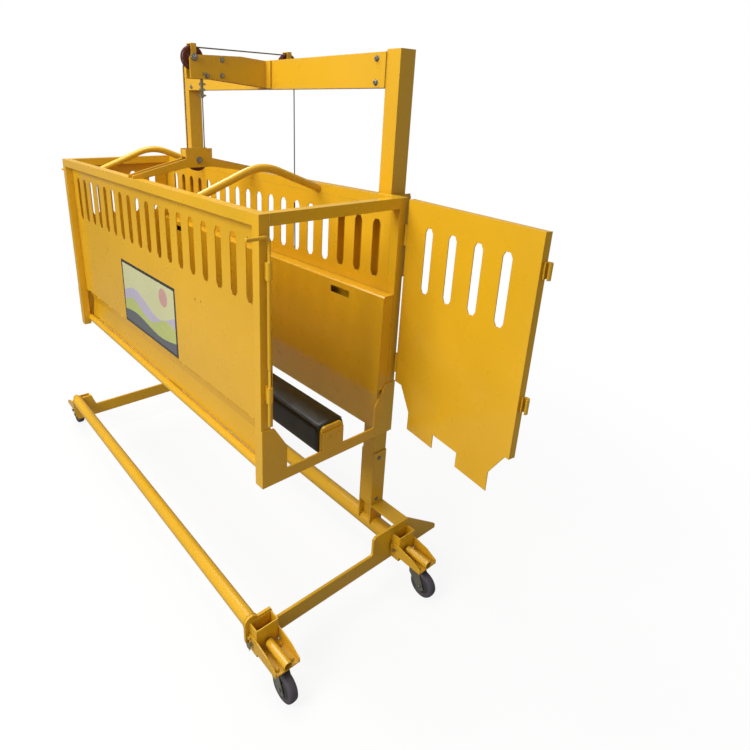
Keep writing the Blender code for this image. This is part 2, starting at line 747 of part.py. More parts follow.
def gear_outline(u, v, teeth, phase):
    """Straight-sided teeth, thin enough to run free at any angle."""
    pitch = GEAR_MODULE * teeth / 2
    tip = pitch + 0.75 * GEAR_MODULE
    root = pitch - 1.0 * GEAR_MODULE
    step = 2 * math.pi / teeth
    points = []
    for i in range(teeth):
        middle = phase + i * step
        for shift, radius in ((-0.24, root), (-0.10, tip), (0.10, tip), (0.24, root)):
            angle = middle + shift * step
            points.append((u + radius * math.cos(angle), v + radius * math.sin(angle)))
    return points


def build_winch(base, drum, crank):
    bm = bmesh.new()
    low = MAST_Y_LOW + MAST_Y + GAP
    high = MAST_Y_HIGH - GAP
    rail_low = MAST_FAR - WINCH_RAIL
    add_box_tube(bm, rail_low, MAST_FAR, WINCH_RAIL_Z - WINCH_RAIL / 2, WINCH_RAIL_Z + WINCH_RAIL / 2,
                 MAST_WALL, "Y", low, high)
    finish("winch_rail", bm, "yellow_paint", base)

    weld = Weldment()
    face = MAST_FAR + GAP
    inner = face + WINCH_PLATE
    add_box(weld.part(), (face, MID_Y - 0.075, WINCH_RAIL_Z - 0.028), (inner, MID_Y + 0.075, WINCH_PLATE_TOP))
    root = inner - WELD_BITE
    for side in (-1, 1):
        near = MID_Y + side * WINCH_HALF
        far = near + side * WINCH_PLATE
        outline = [(root, DRUM_Z - 0.050), (DRUM_X, DRUM_Z - 0.050), (DRUM_X + 0.050, DRUM_Z),
                   (DRUM_X + 0.030, PINION_Z + 0.030), (DRUM_X - 0.040, WINCH_PLATE_TOP - 0.004),
                   (root, WINCH_PLATE_TOP - 0.004)]
        add_prism(weld.part(), outline, "Y", min(near, far), max(near, far))
    item = weld.finish("winch_frame", "dark_paint", base)
    holes = bmesh.new()
    for z in (DRUM_Z, PINION_Z):
        add_rod(holes, DRUM_X, z, SHAFT_RADIUS + GAP, "Y", MID_Y - 0.1, MID_Y + 0.1, 16)
    carve(item, holes)

    inner_half = WINCH_HALF - RUNNING
    gear_low = WINCH_HALF + WINCH_PLATE + RUNNING
    gear_high = gear_low + GEAR_WIDTH
    flange = inner_half - DRUM_FLANGE_WIDTH
    shaft_end = WINCH_HALF + WINCH_PLATE + 0.006
    shaft = SHAFT_RADIUS - GAP
    weld = Weldment()
    add_solid_lathe(weld.part(), [(0.0, -shaft_end), (shaft, -shaft_end), (shaft, -inner_half), (DRUM_FLANGE, -inner_half),
                                  (DRUM_FLANGE, -flange), (DRUM_CORE, -flange), (DRUM_CORE, flange),
                                  (DRUM_FLANGE, flange), (DRUM_FLANGE, inner_half), (shaft, inner_half),
                                  (shaft, gear_high + 0.004), (0.0, gear_high + 0.004)], DRUM_X, DRUM_Z, 16)
    gear = gear_outline(DRUM_X, DRUM_Z, GEAR_TEETH, math.pi / 2)
    add_prism(weld.part(), gear, "Y", MID_Y + gear_low, MID_Y + gear_high)
    weld.finish("winch_drum", "zinc", drum, smooth=True)

    arm_low = gear_high + 0.040
    arm_high = arm_low + 0.008
    weld = Weldment()
    hub = SHAFT_RADIUS + 0.003
    add_solid_lathe(weld.part(), [(0.0, -shaft_end), (shaft, -shaft_end), (shaft, gear_high), (hub, gear_high),
                                  (hub, arm_low + WELD_BITE), (0.0, arm_low + WELD_BITE)], DRUM_X, PINION_Z, 16)
    pinion = gear_outline(DRUM_X, PINION_Z, PINION_TEETH, -math.pi / 2 + math.pi / PINION_TEETH)
    add_prism(weld.part(), pinion, "Y", MID_Y + gear_low, MID_Y + gear_high)
    hand = DRUM_X + CRANK_RADIUS
    arm = arc(DRUM_X, PINION_Z, 0.016, 90, 270, 6) + arc(hand, PINION_Z, 0.012, -90, 90, 6)
    add_prism(weld.part(), arm, "Y", MID_Y + arm_low, MID_Y + arm_high)
    add_rod(weld.part(), hand, PINION_Z, CRANK_GRIP_RADIUS, "Y", MID_Y + arm_high - WELD_BITE,
            MID_Y + arm_high + CRANK_GRIP_LENGTH, 12)
    weld.finish("winch_crank", "zinc", crank, smooth=True)


def add_solid_lathe(bm, profile, x, z, sides):
    """Spins an open profile that starts and ends on the axis, which runs along Y."""
    rings = []
    for radius, shift in profile:
        if radius <= 0.0:
            rings.append([bm.verts.new((x, MID_Y + shift, z))])
        else:
            rings.append([bm.verts.new((cu, MID_Y + shift, cv)) for cu, cv in circle(x, z, radius, sides)])
    for a, b in zip(rings, rings[1:]):
        for i in range(sides):
            j = (i + 1) % sides
            if len(a) == 1:
                bm.faces.new((a[0], b[i], b[j]))
            elif len(b) == 1:
                bm.faces.new((a[i], b[0], a[j]))
            else:
                bm.faces.new((a[i], b[i], b[j], a[j]))


def build_dead_end(base):
    """The thimble on its pin and the clamped rope end that hang under the arm."""
    weld = Weldment()
    reach = sheave_half() + ARM_PLATE + PIN_END
    add_rod(weld.part(), ROPE_DEAD_X, DEAD_EYE_Z, DEAD_PIN, "Y", MID_Y - reach, MID_Y + reach, 12)
    add_lathe(weld.part(), [(DEAD_PIN - WELD_BITE, -0.004), (0.014, -0.004), (0.010, 0.0), (0.014, 0.004),
                            (DEAD_PIN - WELD_BITE, 0.004)], "Y", ROPE_DEAD_X, DEAD_EYE_Z, MID_Y, 16)
    add_box(weld.part(), (ROPE_DEAD_X - 0.006, MID_Y - 0.0035, DEAD_END_Z),
            (ROPE_DEAD_X + 0.006, MID_Y + 0.0035, DEAD_EYE_Z - 0.010))
    for step in range(3):
        z = DEAD_END_Z + 0.010 + 0.024 * step
        add_box(weld.part(), (ROPE_DEAD_X - 0.010, MID_Y - 0.009, z - 0.005), (ROPE_DEAD_X + 0.010, MID_Y + 0.009, z + 0.005))
    weld.finish("rope_thimble", "zinc", base)


def wheel_names():
    return (("front_left", LEFT_WHEEL_X, FRONT_FACE, -1), ("front_right", RIGHT_WHEEL_X, FRONT_FACE, -1),
            ("rear_left", LEFT_WHEEL_X, REAR_FACE, 1), ("rear_right", RIGHT_WHEEL_X, REAR_FACE, 1))


def build_wheel(root, name, x, face, outward):
    """A socket's fold-up bracket with its caster, folded down on the floor."""
    def out(distance):
        return face + outward * distance
    pivot_y = out(PIVOT_OUT)
    bracket = pivot("wheel_fold_" + name, (x, pivot_y, PIVOT_Z), root)
    swivel_y = out(SWIVEL_OUT)
    fork_pivot = pivot("caster_swivel_" + name, (x, swivel_y, BRACKET_PLATE_Z), bracket)
    axle_y = out(SWIVEL_OUT + CASTER_TRAIL)
    wheel_pivot = pivot("wheel_spin_" + name, (x, axle_y, WHEEL_RADIUS), fork_pivot)
    pin_pivot = pivot("lock_pin_slide_" + name, (x, out(LOCK_OUT), LOCK_Z), bracket)

    inner = SOCKET_X / 2 + RUNNING
    plate_top = BRACKET_PLATE_Z + BRACKET_PLATE
    crown = [(pivot_y + outward * u, PIVOT_Z + v) for u, v in arc(0, 0, PIVOT_ROUND, 90, 180, 5)]
    ear = crown + [(out(0.004), BRACKET_PLATE_Z), (out(BRACKET_OUT), BRACKET_PLATE_Z),
                   (out(BRACKET_OUT), plate_top + 0.014), (out(0.125), 0.204), (out(0.040), PIVOT_Z + PIVOT_ROUND)]
    weld = Weldment()
    shelf = out(SOCKET_Y + SHELF_CLEAR)
    edge = out(BRACKET_OUT - 0.0005)
    add_box(weld.part(), (x - inner - WELD_BITE, min(shelf, edge), BRACKET_PLATE_Z + 0.0005),
            (x + inner + WELD_BITE, max(shelf, edge), plate_top))
    for side in (-1, 1):
        near = x + side * inner
        far = near + side * EAR
        add_prism(weld.part(), ear, "X", min(near, far), max(near, far))
    lever_low = out(SOCKET_Y + SHELF_CLEAR + 0.002)
    lever_high = out(SOCKET_Y + SHELF_CLEAR + 0.002 + LEVER_LENGTH)
    add_pipe(weld.part(), x, plate_top + LEVER_RADIUS - WELD_BITE, LEVER_RADIUS, LEVER_RADIUS - LEVER_WALL, "Y",
             min(lever_low, lever_high), max(lever_low, lever_high), 12)
    item = weld.finish("wheel_bracket_" + name, "yellow_paint", bracket)
    holes = bmesh.new()
    reach = inner + EAR + 0.01
    for hole_y, z in ((pivot_y, PIVOT_Z), (out(LOCK_OUT), LOCK_Z)):
        add_rod(holes, hole_y, z, PIVOT_PIN + GAP, "X", x - reach, x + reach)
    carve(item, holes)

    plate_high = BRACKET_PLATE_Z + 0.0005 - GAP
    plate_low = plate_high - CASTER_PLATE
    bm = bmesh.new()
    add_box(bm, (x - CASTER_PLATE_X / 2, swivel_y - CASTER_PLATE_Y / 2, plate_low),
            (x + CASTER_PLATE_X / 2, swivel_y + CASTER_PLATE_Y / 2, plate_high))
    finish("caster_plate_" + name, bm, "zinc", bracket)

    weld = Weldment()
    half = WHEEL_WIDTH / 2 + 0.003
    crown_z = FORK_CROWN
    add_rod(weld.part(), x, swivel_y, 0.024, "Z", crown_z + 0.001, plate_low - RUNNING, 16)
    add_box(weld.part(), (x - half - FORK_SHEET, swivel_y - 0.026, crown_z),
            (x + half + FORK_SHEET, swivel_y + 0.026, crown_z + FORK_SHEET))
    for side in (-1, 1):
        near = x + side * half
        far = near + side * (FORK_SHEET - GAP)
        cheek = [(swivel_y - outward * 0.0255, crown_z + WELD_BITE), (swivel_y - outward * 0.022, 0.100)]
        cheek += [(axle_y + outward * u, WHEEL_RADIUS + v) for u, v in arc(0, 0, FORK_END, 200, 340, 5)]
        cheek += [(swivel_y + outward * 0.034, crown_z - 0.014), (swivel_y + outward * 0.0255, crown_z + WELD_BITE)]
        add_prism(weld.part(), cheek, "X", min(near, far), max(near, far))
    item = weld.finish("caster_fork_" + name, "zinc", fork_pivot)
    holes = bmesh.new()
    add_rod(holes, axle_y, WHEEL_RADIUS, WHEEL_AXLE + GAP, "X", x - 0.05, x + 0.05)
    carve(item, holes)

    bm = bmesh.new()
    rim = WHEEL_WIDTH / 2
    end = half + 0.012
    profile = [(0.0, -end), (WHEEL_AXLE, -end), (WHEEL_AXLE, -rim), (WHEEL_RADIUS - 0.008, -rim),
               (WHEEL_RADIUS, -rim + 0.008), (WHEEL_RADIUS, rim - 0.008), (WHEEL_RADIUS - 0.008, rim),
               (WHEEL_AXLE, rim), (WHEEL_AXLE, end), (0.0, end)]
    add_axle_lathe(bm, profile, x, axle_y, WHEEL_RADIUS, 18)
    finish("caster_wheel_" + name, bm, "grey_rubber", wheel_pivot, smooth=True)

    bm = bmesh.new()
    reach = inner + EAR + 0.012
    toward = 1 if x > 0 else -1
    profile = [(0.0, -reach), (PIVOT_PIN, -reach), (PIVOT_PIN, reach), (0.011, reach), (0.011, reach + 0.006),
               (0.0, reach + 0.006)]
    if toward < 0:
        profile = [(radius, -shift) for radius, shift in reversed(profile)]
    add_axle_lathe(bm, profile, x, out(LOCK_OUT), LOCK_Z, 12)
    finish("lock_pin_" + name, bm, "zinc", pin_pivot)


def add_axle_lathe(bm, profile, x, y, z, sides):
    """Spins an open profile about an axis along X, with one facet level underneath."""
    turn = 0.0 if sides % 4 else math.pi / sides
    rings = []
    for radius, shift in profile:
        if radius <= 0.0:
            rings.append([bm.verts.new((x + shift, y, z))])
        else:
            rings.append([bm.verts.new((x + shift, cu, cv)) for cu, cv in circle(y, z, radius, sides, turn)])
    for a, b in zip(rings, rings[1:]):
        for i in range(sides):
            j = (i + 1) % sides
            if len(a) == 1:
                bm.faces.new((a[0], b[i], b[j]))
            elif len(b) == 1:
                bm.faces.new((a[i], b[0], a[j]))
            else:
                bm.faces.new((a[i], b[i], b[j], a[j]))


def up(z):
    """A height on the crate as a height over the floor."""
    return CRATE_LIFTED + z


def build_crate_frame(crate):
    """Posts, rails, end plates, hinge eyes and latch sleeves, welded into one frame."""
    weld = Weldment()
    top = CRATE_HEIGHT
    bite = POST - WELD_BITE
    for x in (0.0, CRATE_WIDTH - POST):
        for y in (0.0, CRATE_LENGTH - POST):
            add_box_tube(weld.part(), x, x + POST, y, y + POST, TUBE_WALL, "Z", up(0.0), up(top) - SHEET)
            add_box(weld.part(), (x, y, up(top) - SHEET - WELD_BITE), (x + POST, y + POST, up(top)))
        add_box_tube(weld.part(), x, x + POST, up(top - POST), up(top), TUBE_WALL, "Y", bite, CRATE_LENGTH - bite)
    for y in (0.0, CRATE_LENGTH - POST):
        add_box_tube(weld.part(), y, y + POST, up(top - POST), up(top), TUBE_WALL, "X", bite, CRATE_WIDTH - bite)
    for x in (RAIL_IN, CRATE_WIDTH - RAIL_IN):
        add_pipe(weld.part(), x, up(RAIL_Z), RAIL_RADIUS, RAIL_RADIUS - TUBE_WALL, "Y", bite, CRATE_LENGTH - bite, 12)
        for low, high in ((-END_PLATE / 2, POST + 0.002), (CRATE_LENGTH - POST - 0.002, CRATE_LENGTH + END_PLATE / 2)):
            add_rod(weld.part(), x, up(RAIL_Z), RAIL_RADIUS - TUBE_WALL / 4, "Y", low, high, 12)
    outline = [(x, up(z)) for x, z in end_outline()]
    bore = LATCH_RADIUS + GAP * 2
    for y, inward in both_sides(0.0):
        near = y + inward * WELD_BITE
        far = y - inward * END_PLATE
        add_prism(weld.part(), outline, "Y", min(near, far), max(near, far))
        centre = y - inward * LATCH_FORWARD
        for z in SLEEVE_HEIGHTS:
            low, high = up(z) - SLEEVE_LENGTH / 2, up(z) + SLEEVE_LENGTH / 2
            far = y - inward * (LATCH_FORWARD - bore - SLEEVE_WALL / 2)
            add_box(weld.part(), (LATCH_X - 0.005, min(near, far), low), (LATCH_X + 0.005, max(near, far), high))
            add_pipe(weld.part(), LATCH_X, centre, bore + SLEEVE_WALL, bore, "Z", low - GAP, high + GAP, 16)
        axis_y = y - inward * HINGE_FORWARD
        for z in HINGE_HEIGHTS:
            high = up(z) - KNUCKLE_LENGTH / 2 - RUNNING
            low = high - KNUCKLE_LENGTH
            tip = axis_y + inward * (HINGE_PIN + GAP + 0.002)
            back = y + inward * WELD_BITE
            add_box(weld.part(), (HINGE_X - 0.0035, min(tip, back), low + 0.001), (HINGE_X + 0.0035, max(tip, back), high - 0.001))
            add_pipe(weld.part(), HINGE_X, axis_y, KNUCKLE_RADIUS, HINGE_PIN + GAP, "Z", low, high, 16)
    item = weld.finish("crate_frame", "yellow_paint", crate)
    vents = bmesh.new()
    for x in (POST / 2, CRATE_WIDTH - POST / 2):
        add_rod(vents, x, MID_Y, VENT, "Z", up(top - POST) - 0.01, up(top - POST) + 0.01, 8)
    for y in (POST / 2, CRATE_LENGTH - POST / 2):
        add_rod(vents, MID_X, y, VENT, "Z", up(top - POST) - 0.01, up(top - POST) + 0.01, 8)
    for x in (RAIL_IN, CRATE_WIDTH - RAIL_IN):
        add_rod(vents, x, MID_Y, VENT, "Z", up(RAIL_Z) - RAIL_RADIUS - 0.01, up(RAIL_Z), 8)
    carve(item, vents)


def side_skin(mirrored):
    """The folded outline of an outer side panel, seen from the front."""
    edge = PANEL_SETBACK
    line = [(edge, CRATE_HEIGHT - POST - GAP), (edge, PANEL_FOLD), (edge + 0.020, PANEL_FOLD - 0.014),
            (SKIRT_DEPTH - 0.006, PANEL_FOLD - 0.040), (SKIRT_DEPTH, PANEL_FOLD - 0.075), (SKIRT_FOOT_IN, SKIRT_BOTTOM)]
    outline = thicken(line, SHEET)
    outline = [(x, up(z)) for x, z in outline]
    return [(CRATE_WIDTH - x, z) for x, z in reversed(outline)] if mirrored else outline


def inner_skin(mirrored):
    """The right board's ledge, upright face and return, or the left board's shallow lining."""
    wall = POST + GAP
    line = [(wall, BOARD_TOP), (LINING_IN - 0.006, BOARD_TOP), (LINING_IN, BOARD_TOP - 0.006), (LINING_IN, LINING_BOTTOM)]
    if mirrored:
        line = [(wall, BOARD_TOP), (BOARD_LEDGE_IN - 0.006, BOARD_TOP), (BOARD_LEDGE_IN, BOARD_TOP - 0.006),
                (BOARD_BEND_IN, BOARD_BEND_Z + 0.010), (BOARD_BEND_IN - 0.001, BOARD_BEND_Z - 0.010),
                (BOARD_FOOT_IN, BOARD_FOOT_Z)]
    outline = thicken(line, -SHEET)
    outline = [(x, up(z)) for x, z in outline]
    return [(CRATE_WIDTH - x, z) for x, z in reversed(outline)] if mirrored else outline


def board_end():
    """The plate that closes the right board's hollow at either end, above its bend."""
    wall = POST + GAP
    line = [(wall, BOARD_TOP - 0.001), (BOARD_LEDGE_IN - 0.0065, BOARD_TOP - 0.001),
            (BOARD_LEDGE_IN - 0.001, BOARD_TOP - 0.0065), (BOARD_BEND_IN - 0.001, BOARD_BEND_Z + 0.012),
            (wall, BOARD_BEND_Z + 0.012)]
    return [(CRATE_WIDTH - x, up(z)) for x, z in reversed(line)]


def build_walls(crate):
    for name, mirrored in (("left", False), ("right", True)):
        bm = bmesh.new()
        add_prism(bm, side_skin(mirrored), "Y", POST + GAP, CRATE_LENGTH - POST - GAP)
        panel = finish("side_panel_" + name, bm, "yellow_paint", crate)
        slots = bmesh.new()
        face = CRATE_WIDTH - PANEL_SETBACK if mirrored else PANEL_SETBACK
        for i in range(SLOT_COUNT):
            y = SLOT_FIRST + SLOT_PITCH * i
            add_prism(slots, slot_outline(y, up(SLOT_BOTTOM), up(SLOT_TOP), SLOT_WIDTH, 3), "X", face - 0.01, face + 0.01)
        carve(panel, slots)

        weld = Weldment()
        add_prism(weld.part(), inner_skin(mirrored), "Y", WELD_BITE + GAP, CRATE_LENGTH - WELD_BITE - GAP)
        if not mirrored:
            weld.finish("inner_board_" + name, "yellow_paint", crate)
            continue
        for low in (WELD_BITE + GAP + 0.0005, CRATE_LENGTH - WELD_BITE - GAP - 0.0005 - SHEET):
            add_prism(weld.part(), board_end(), "Y", low, low + SHEET)
        board = weld.finish("inner_board_" + name, "yellow_paint", crate)
        holes = bmesh.new()
        face = CRATE_WIDTH - BOARD_LEDGE_IN
        for y in (HAND_HOLE_Y, CRATE_LENGTH - HAND_HOLE_Y):
            add_box(holes, (face - 0.02, y - HAND_HOLE_LENGTH / 2, up(HAND_HOLE_Z) - HAND_HOLE_HEIGHT / 2),
                    (face + 0.02, y + HAND_HOLE_LENGTH / 2, up(HAND_HOLE_Z) + HAND_HOLE_HEIGHT / 2))
        carve(board, holes)


def end_outline():
    """A wide U with high corners and a tab in the middle for the belly beam."""
    tab = TAB_WIDTH / 2
    half = [(0.0, 0.0), (0.0, END_GUSSET_TOP), (END_CHAMFER_X, END_GUSSET_TOP - 0.005),
            (END_GUSSET_WIDTH, END_CHAMFER_Z), (END_GUSSET_WIDTH, END_BAR), (MID_X - tab, END_BAR), (MID_X - tab, TAB_TOP)]
    return half + [(CRATE_WIDTH - x, z) for x, z in reversed(half)]


def build_belly(crate):
    half = BEAM_WIDTH / 2
    low, high = WELD_BITE + GAP, CRATE_LENGTH - WELD_BITE - GAP
    weld = Weldment()
    line = belly_line(half, BEAM_TOP, BEAM_ROUND, BEAM_SKIRT)
    add_prism(weld.part(), thicken(line, -BEAM_WALL), "Y", low, high)
    cap = belly_line(half - BEAM_WALL + WELD_BITE, BEAM_TOP - BEAM_WALL + WELD_BITE, BEAM_ROUND - BEAM_WALL + WELD_BITE,
                     BEAM_SKIRT + GAP)
    for y, inward in ((low, 1), (high, -1)):
        near = y + inward * GAP
        far = near + inward * BEAM_WALL
        add_prism(weld.part(), cap, "Y", min(near, far), max(near, far))
    weld.finish("belly_beam", "yellow_paint", crate)

    bm = bmesh.new()
    stations = 14
    rings = []
    first, last = PAD_END, CRATE_LENGTH - PAD_END
    for i in range(stations + 1):
        share = (1 - math.cos(math.pi * i / stations)) / 2
        y = first + (last - first) * share
        edge = min(y - first, last - y)
        round_in = 0.004 * max(0.0, 1 - edge / 0.030) ** 2
        rings.append([bm.verts.new((px, y, pz)) for px, pz in pad_section(round_in)])
    count = len(rings[0])
    for a, b in zip(rings, rings[1:]):
        for i in range(count):
            j = (i + 1) % count
            bm.faces.new((a[i], a[j], b[j], b[i]))
    bm.faces.new(list(reversed(rings[0])))
    bm.faces.new(rings[-1])
    finish("belly_pad", bm, "black_vinyl", crate, smooth=True)


def belly_line(half, top, rounding, skirt):
    """The beam's folded line seen from the front, from the left skirt over the top to the right one."""
    left = arc(MID_X - half + rounding, up(top) - rounding, rounding, 180, 90, 3)
    right = arc(MID_X + half - rounding, up(top) - rounding, rounding, 90, 0, 3)
    return [(MID_X - half, up(skirt))] + left + right + [(MID_X + half, up(skirt))]


def pad_section(round_in):
    """A crowned saddle over the beam: full shoulders, drawn-in skirts, a square recess."""
    half = PAD_WIDTH / 2 - round_in
    clear = BEAM_WIDTH / 2 + GAP
    crown = PAD_CROWN - round_in * 0.6
    shoulder = 0.026
    outer = [(half - 0.005, PAD_SKIRT), (half - 0.002, PAD_SKIRT + 0.030), (half, PAD_SKIRT + 0.065)]
    centre = (half - shoulder, crown - 0.008 - shoulder)
    outer += arc(centre[0], centre[1], shoulder, 0, 75, 4)
    outer += [((half - shoulder) * 0.5, crown - 0.002), (0.0, crown)]
    right = [(MID_X + x, up(z)) for x, z in outer]
    left = [(MID_X - x, up(z)) for x, z in reversed(outer[:-1])]
    return right + left + belly_line(clear, BEAM_TOP + GAP, BEAM_ROUND + GAP, PAD_SKIRT)


def build_arches(crate):
    side = POST + GAP
    low, peak = up(CRATE_HEIGHT + ARCH_END), up(CRATE_HEIGHT + ARCH_PEAK)
    ends = [(side, low), (CRATE_WIDTH - side, low)]
    path = [ends[0]] + rounded(ends[0], (MID_X, peak), ends[1], ARCH_BEND, 7) + [ends[1]]
    for name, y in (("front", ARCH_Y), ("rear", CRATE_LENGTH - ARCH_Y)):
        bm = bmesh.new()
        add_cut_tube(bm, [(x, y, z) for x, z in path], ARCH_RADIUS, 12)
        finish("head_arch_" + name, bm, "yellow_paint", crate, smooth=True)


def rounded(before, corner, after, length, steps=5):
    """A smooth curve that cuts a corner of a bent tube."""
    a = Vector(corner) + (Vector(before) - Vector(corner)).normalized() * length
    b = Vector(corner) + (Vector(after) - Vector(corner)).normalized() * length
    points = []
    for i in range(steps + 1):
        t = i / steps
        points.append(tuple(a * (1 - t) ** 2 + Vector(corner) * 2 * t * (1 - t) + b * t ** 2))
    return points


def add_cut_tube(bm, path, radius, sides):
    """A bent tube across the crate whose two ends are cut upright where they meet the rails."""
    points = [Vector(p) for p in path]
    across = Vector((0, 1, 0))
    rings = []
    for i, point in enumerate(points):
        if i == 0:
            tangent = (points[1] - point).normalized()
        elif i == len(points) - 1:
            tangent = (point - points[i - 1]).normalized()
        else:
            tangent = ((points[i + 1] - point).normalized() + (point - points[i - 1]).normalized()).normalized()
        normal = tangent.cross(across).normalized()
        ring = []
        for k in range(sides):
            angle = 2 * math.pi * k / sides
            spot = point + across * (radius * math.cos(angle)) + normal * (radius * math.sin(angle))
            if i in (0, len(points) - 1):
                spot = spot + tangent * ((point.x - spot.x) / tangent.x)
            ring.append(bm.verts.new(spot))
        rings.append(ring)
    for a, b in zip(rings, rings[1:]):
        for i in range(sides):
            j = (i + 1) % sides
            bm.faces.new((a[i], a[j], b[j], b[i]))
    bm.faces.new(list(reversed(rings[0])))
    bm.faces.new(rings[-1])


def build_bridge(crate):
    """Two plates across the top rails that hold the crate's sheave between them."""
    weld = Weldment()
    foot = up(CRATE_HEIGHT) + GAP
    thick = BRIDGE_DEPTH
    left, right = GAP, CRATE_WIDTH - GAP
    block = BRIDGE_BLOCK / 2
    rise = up(CRATE_HEIGHT + BRIDGE_RISE)
    top = up(CRATE_HEIGHT + BRIDGE_BLOCK_TOP)
    lower = foot + BRIDGE_RISE - thick
    outline = [(left, foot), (left + BRIDGE_FOOT, foot), (SHEAVE_X - block, lower), (SHEAVE_X + block, lower),
               (right - BRIDGE_FOOT, foot), (right, foot), (right, foot + 0.012), (SHEAVE_X + block, rise),
               (SHEAVE_X + block, top), (SHEAVE_X - block, top), (SHEAVE_X - block, rise), (left, foot + 0.012)]
    for side in (-1, 1):
        near = MID_Y + side * BRIDGE_SPACING / 2
        far = near + side * BRIDGE_PLATE
        add_prism(weld.part(), outline, "Y", min(near, far), max(near, far))
    inner = BRIDGE_SPACING / 2 + WELD_BITE
    for x in (SHEAVE_X - block + 0.001, SHEAVE_X + block - 0.009):
        add_box(weld.part(), (x, MID_Y - inner, rise + 0.008), (x + 0.008, MID_Y + inner, top - 0.004))
    item = weld.finish("lift_bridge", "yellow_paint", crate)
    bm = bmesh.new()
    reach = BRIDGE_SPACING / 2 + BRIDGE_PLATE + PIN_END
    add_rod(bm, SHEAVE_X, CRATE_SHEAVE_Z, PIN_RADIUS, "Y", MID_Y - reach, MID_Y + reach, 16)
    finish("crate_sheave_pin", bm, "zinc", crate, smooth=True)
    holes = bmesh.new()
    add_rod(holes, SHEAVE_X, CRATE_SHEAVE_Z, PIN_RADIUS + GAP, "Y", MID_Y - 0.05, MID_Y + 0.05)
    carve(item, holes)


def build_carriages(crate):
    """Plates on the far side of the crate that wrap each mast and keep the crate upright."""
    face = CRATE_WIDTH + GAP
    inner = face + CARRIAGE_PLATE
    low, high = up(CARRIAGE_BOTTOM), up(CARRIAGE_TOP)
    for name, y, inward in (("front", MAST_Y_LOW, 1), ("rear", MAST_Y_HIGH, -1)):
        weld = Weldment()
        outer_edge = (y if inward > 0 else y + MAST_Y) - inward * CARRIAGE_OUTSIDE
        inner_edge = (y + MAST_Y if inward > 0 else y) + inward * CARRIAGE_INSIDE
        add_box(weld.part(), (face, min(outer_edge, inner_edge), low), (inner, max(outer_edge, inner_edge), high))
        gap = CARRIAGE_CLEAR + SHOE_THICKNESS
        back = MAST_FAR + gap
        for side in (-1, 1):
            mast_face = y if side < 0 else y + MAST_Y
            near = mast_face + side * gap
            far = near + side * CARRIAGE_PLATE
            add_box(weld.part(), (inner - WELD_BITE, min(near, far), low + 0.002),
                    (back + WELD_BITE, max(near, far), high - 0.002))
            shoe_low = mast_face + side * CARRIAGE_CLEAR
            shoe_high = near + side * WELD_BITE
            for z in (low + 0.010, high - SHOE_HEIGHT - 0.010):
                add_box(weld.part(), (MAST_NEAR + 0.005, min(shoe_low, shoe_high), z),
                        (MAST_FAR - 0.005, max(shoe_low, shoe_high), z + SHOE_HEIGHT))
        reach = gap + CARRIAGE_PLATE - WELD_BITE
        for z in (low + 0.010, high - SHOE_HEIGHT - 0.010):
            add_box(weld.part(), (back, y - reach, z + 0.002), (back + CARRIAGE_PLATE, y + MAST_Y + reach, z + SHOE_HEIGHT - 0.002))
            add_box(weld.part(), (MAST_FAR + CARRIAGE_CLEAR, y + 0.005, z + 0.004),
                    (back + WELD_BITE, y + MAST_Y - 0.005, z + SHOE_HEIGHT - 0.004))
            add_box(weld.part(), (inner - WELD_BITE, y + 0.005, z), (MAST_NEAR - CARRIAGE_CLEAR, y + MAST_Y - 0.005, z + SHOE_HEIGHT))
        weld.finish("guide_carriage_" + name, "dark_paint", crate)


def gate_outline():
    """The gate's sheet as (distance from its hinged edge, height on the crate)."""
    clear = GATE_CUT
    tab = TAB_WIDTH / 2 + GATE_TAB_SIDE
    def from_hinge(x):
        return HINGE_X - x
    low = END_BAR + GATE_RISE
    right_gusset = CRATE_WIDTH - END_GUSSET_WIDTH - clear
    left_gusset = END_GUSSET_WIDTH + clear
    slope = END_GUSSET_TOP + clear
    return [(GATE_EDGE, GATE_TOP), (GATE_EDGE, slope),
            (from_hinge(CRATE_WIDTH - END_CHAMFER_X - clear * 0.4), slope),
            (from_hinge(right_gusset), END_CHAMFER_Z + clear * 0.6), (from_hinge(right_gusset), low),
            (from_hinge(MID_X + tab), low), (from_hinge(MID_X + tab), TAB_TOP + clear),
            (from_hinge(MID_X - tab), TAB_TOP + clear), (from_hinge(MID_X - tab), low),
            (from_hinge(left_gusset), low), (from_hinge(left_gusset), END_CHAMFER_Z + clear * 0.6),
            (from_hinge(END_CHAMFER_X + clear * 0.4), slope), (GATE_WIDTH, slope), (GATE_WIDTH, GATE_TOP)]


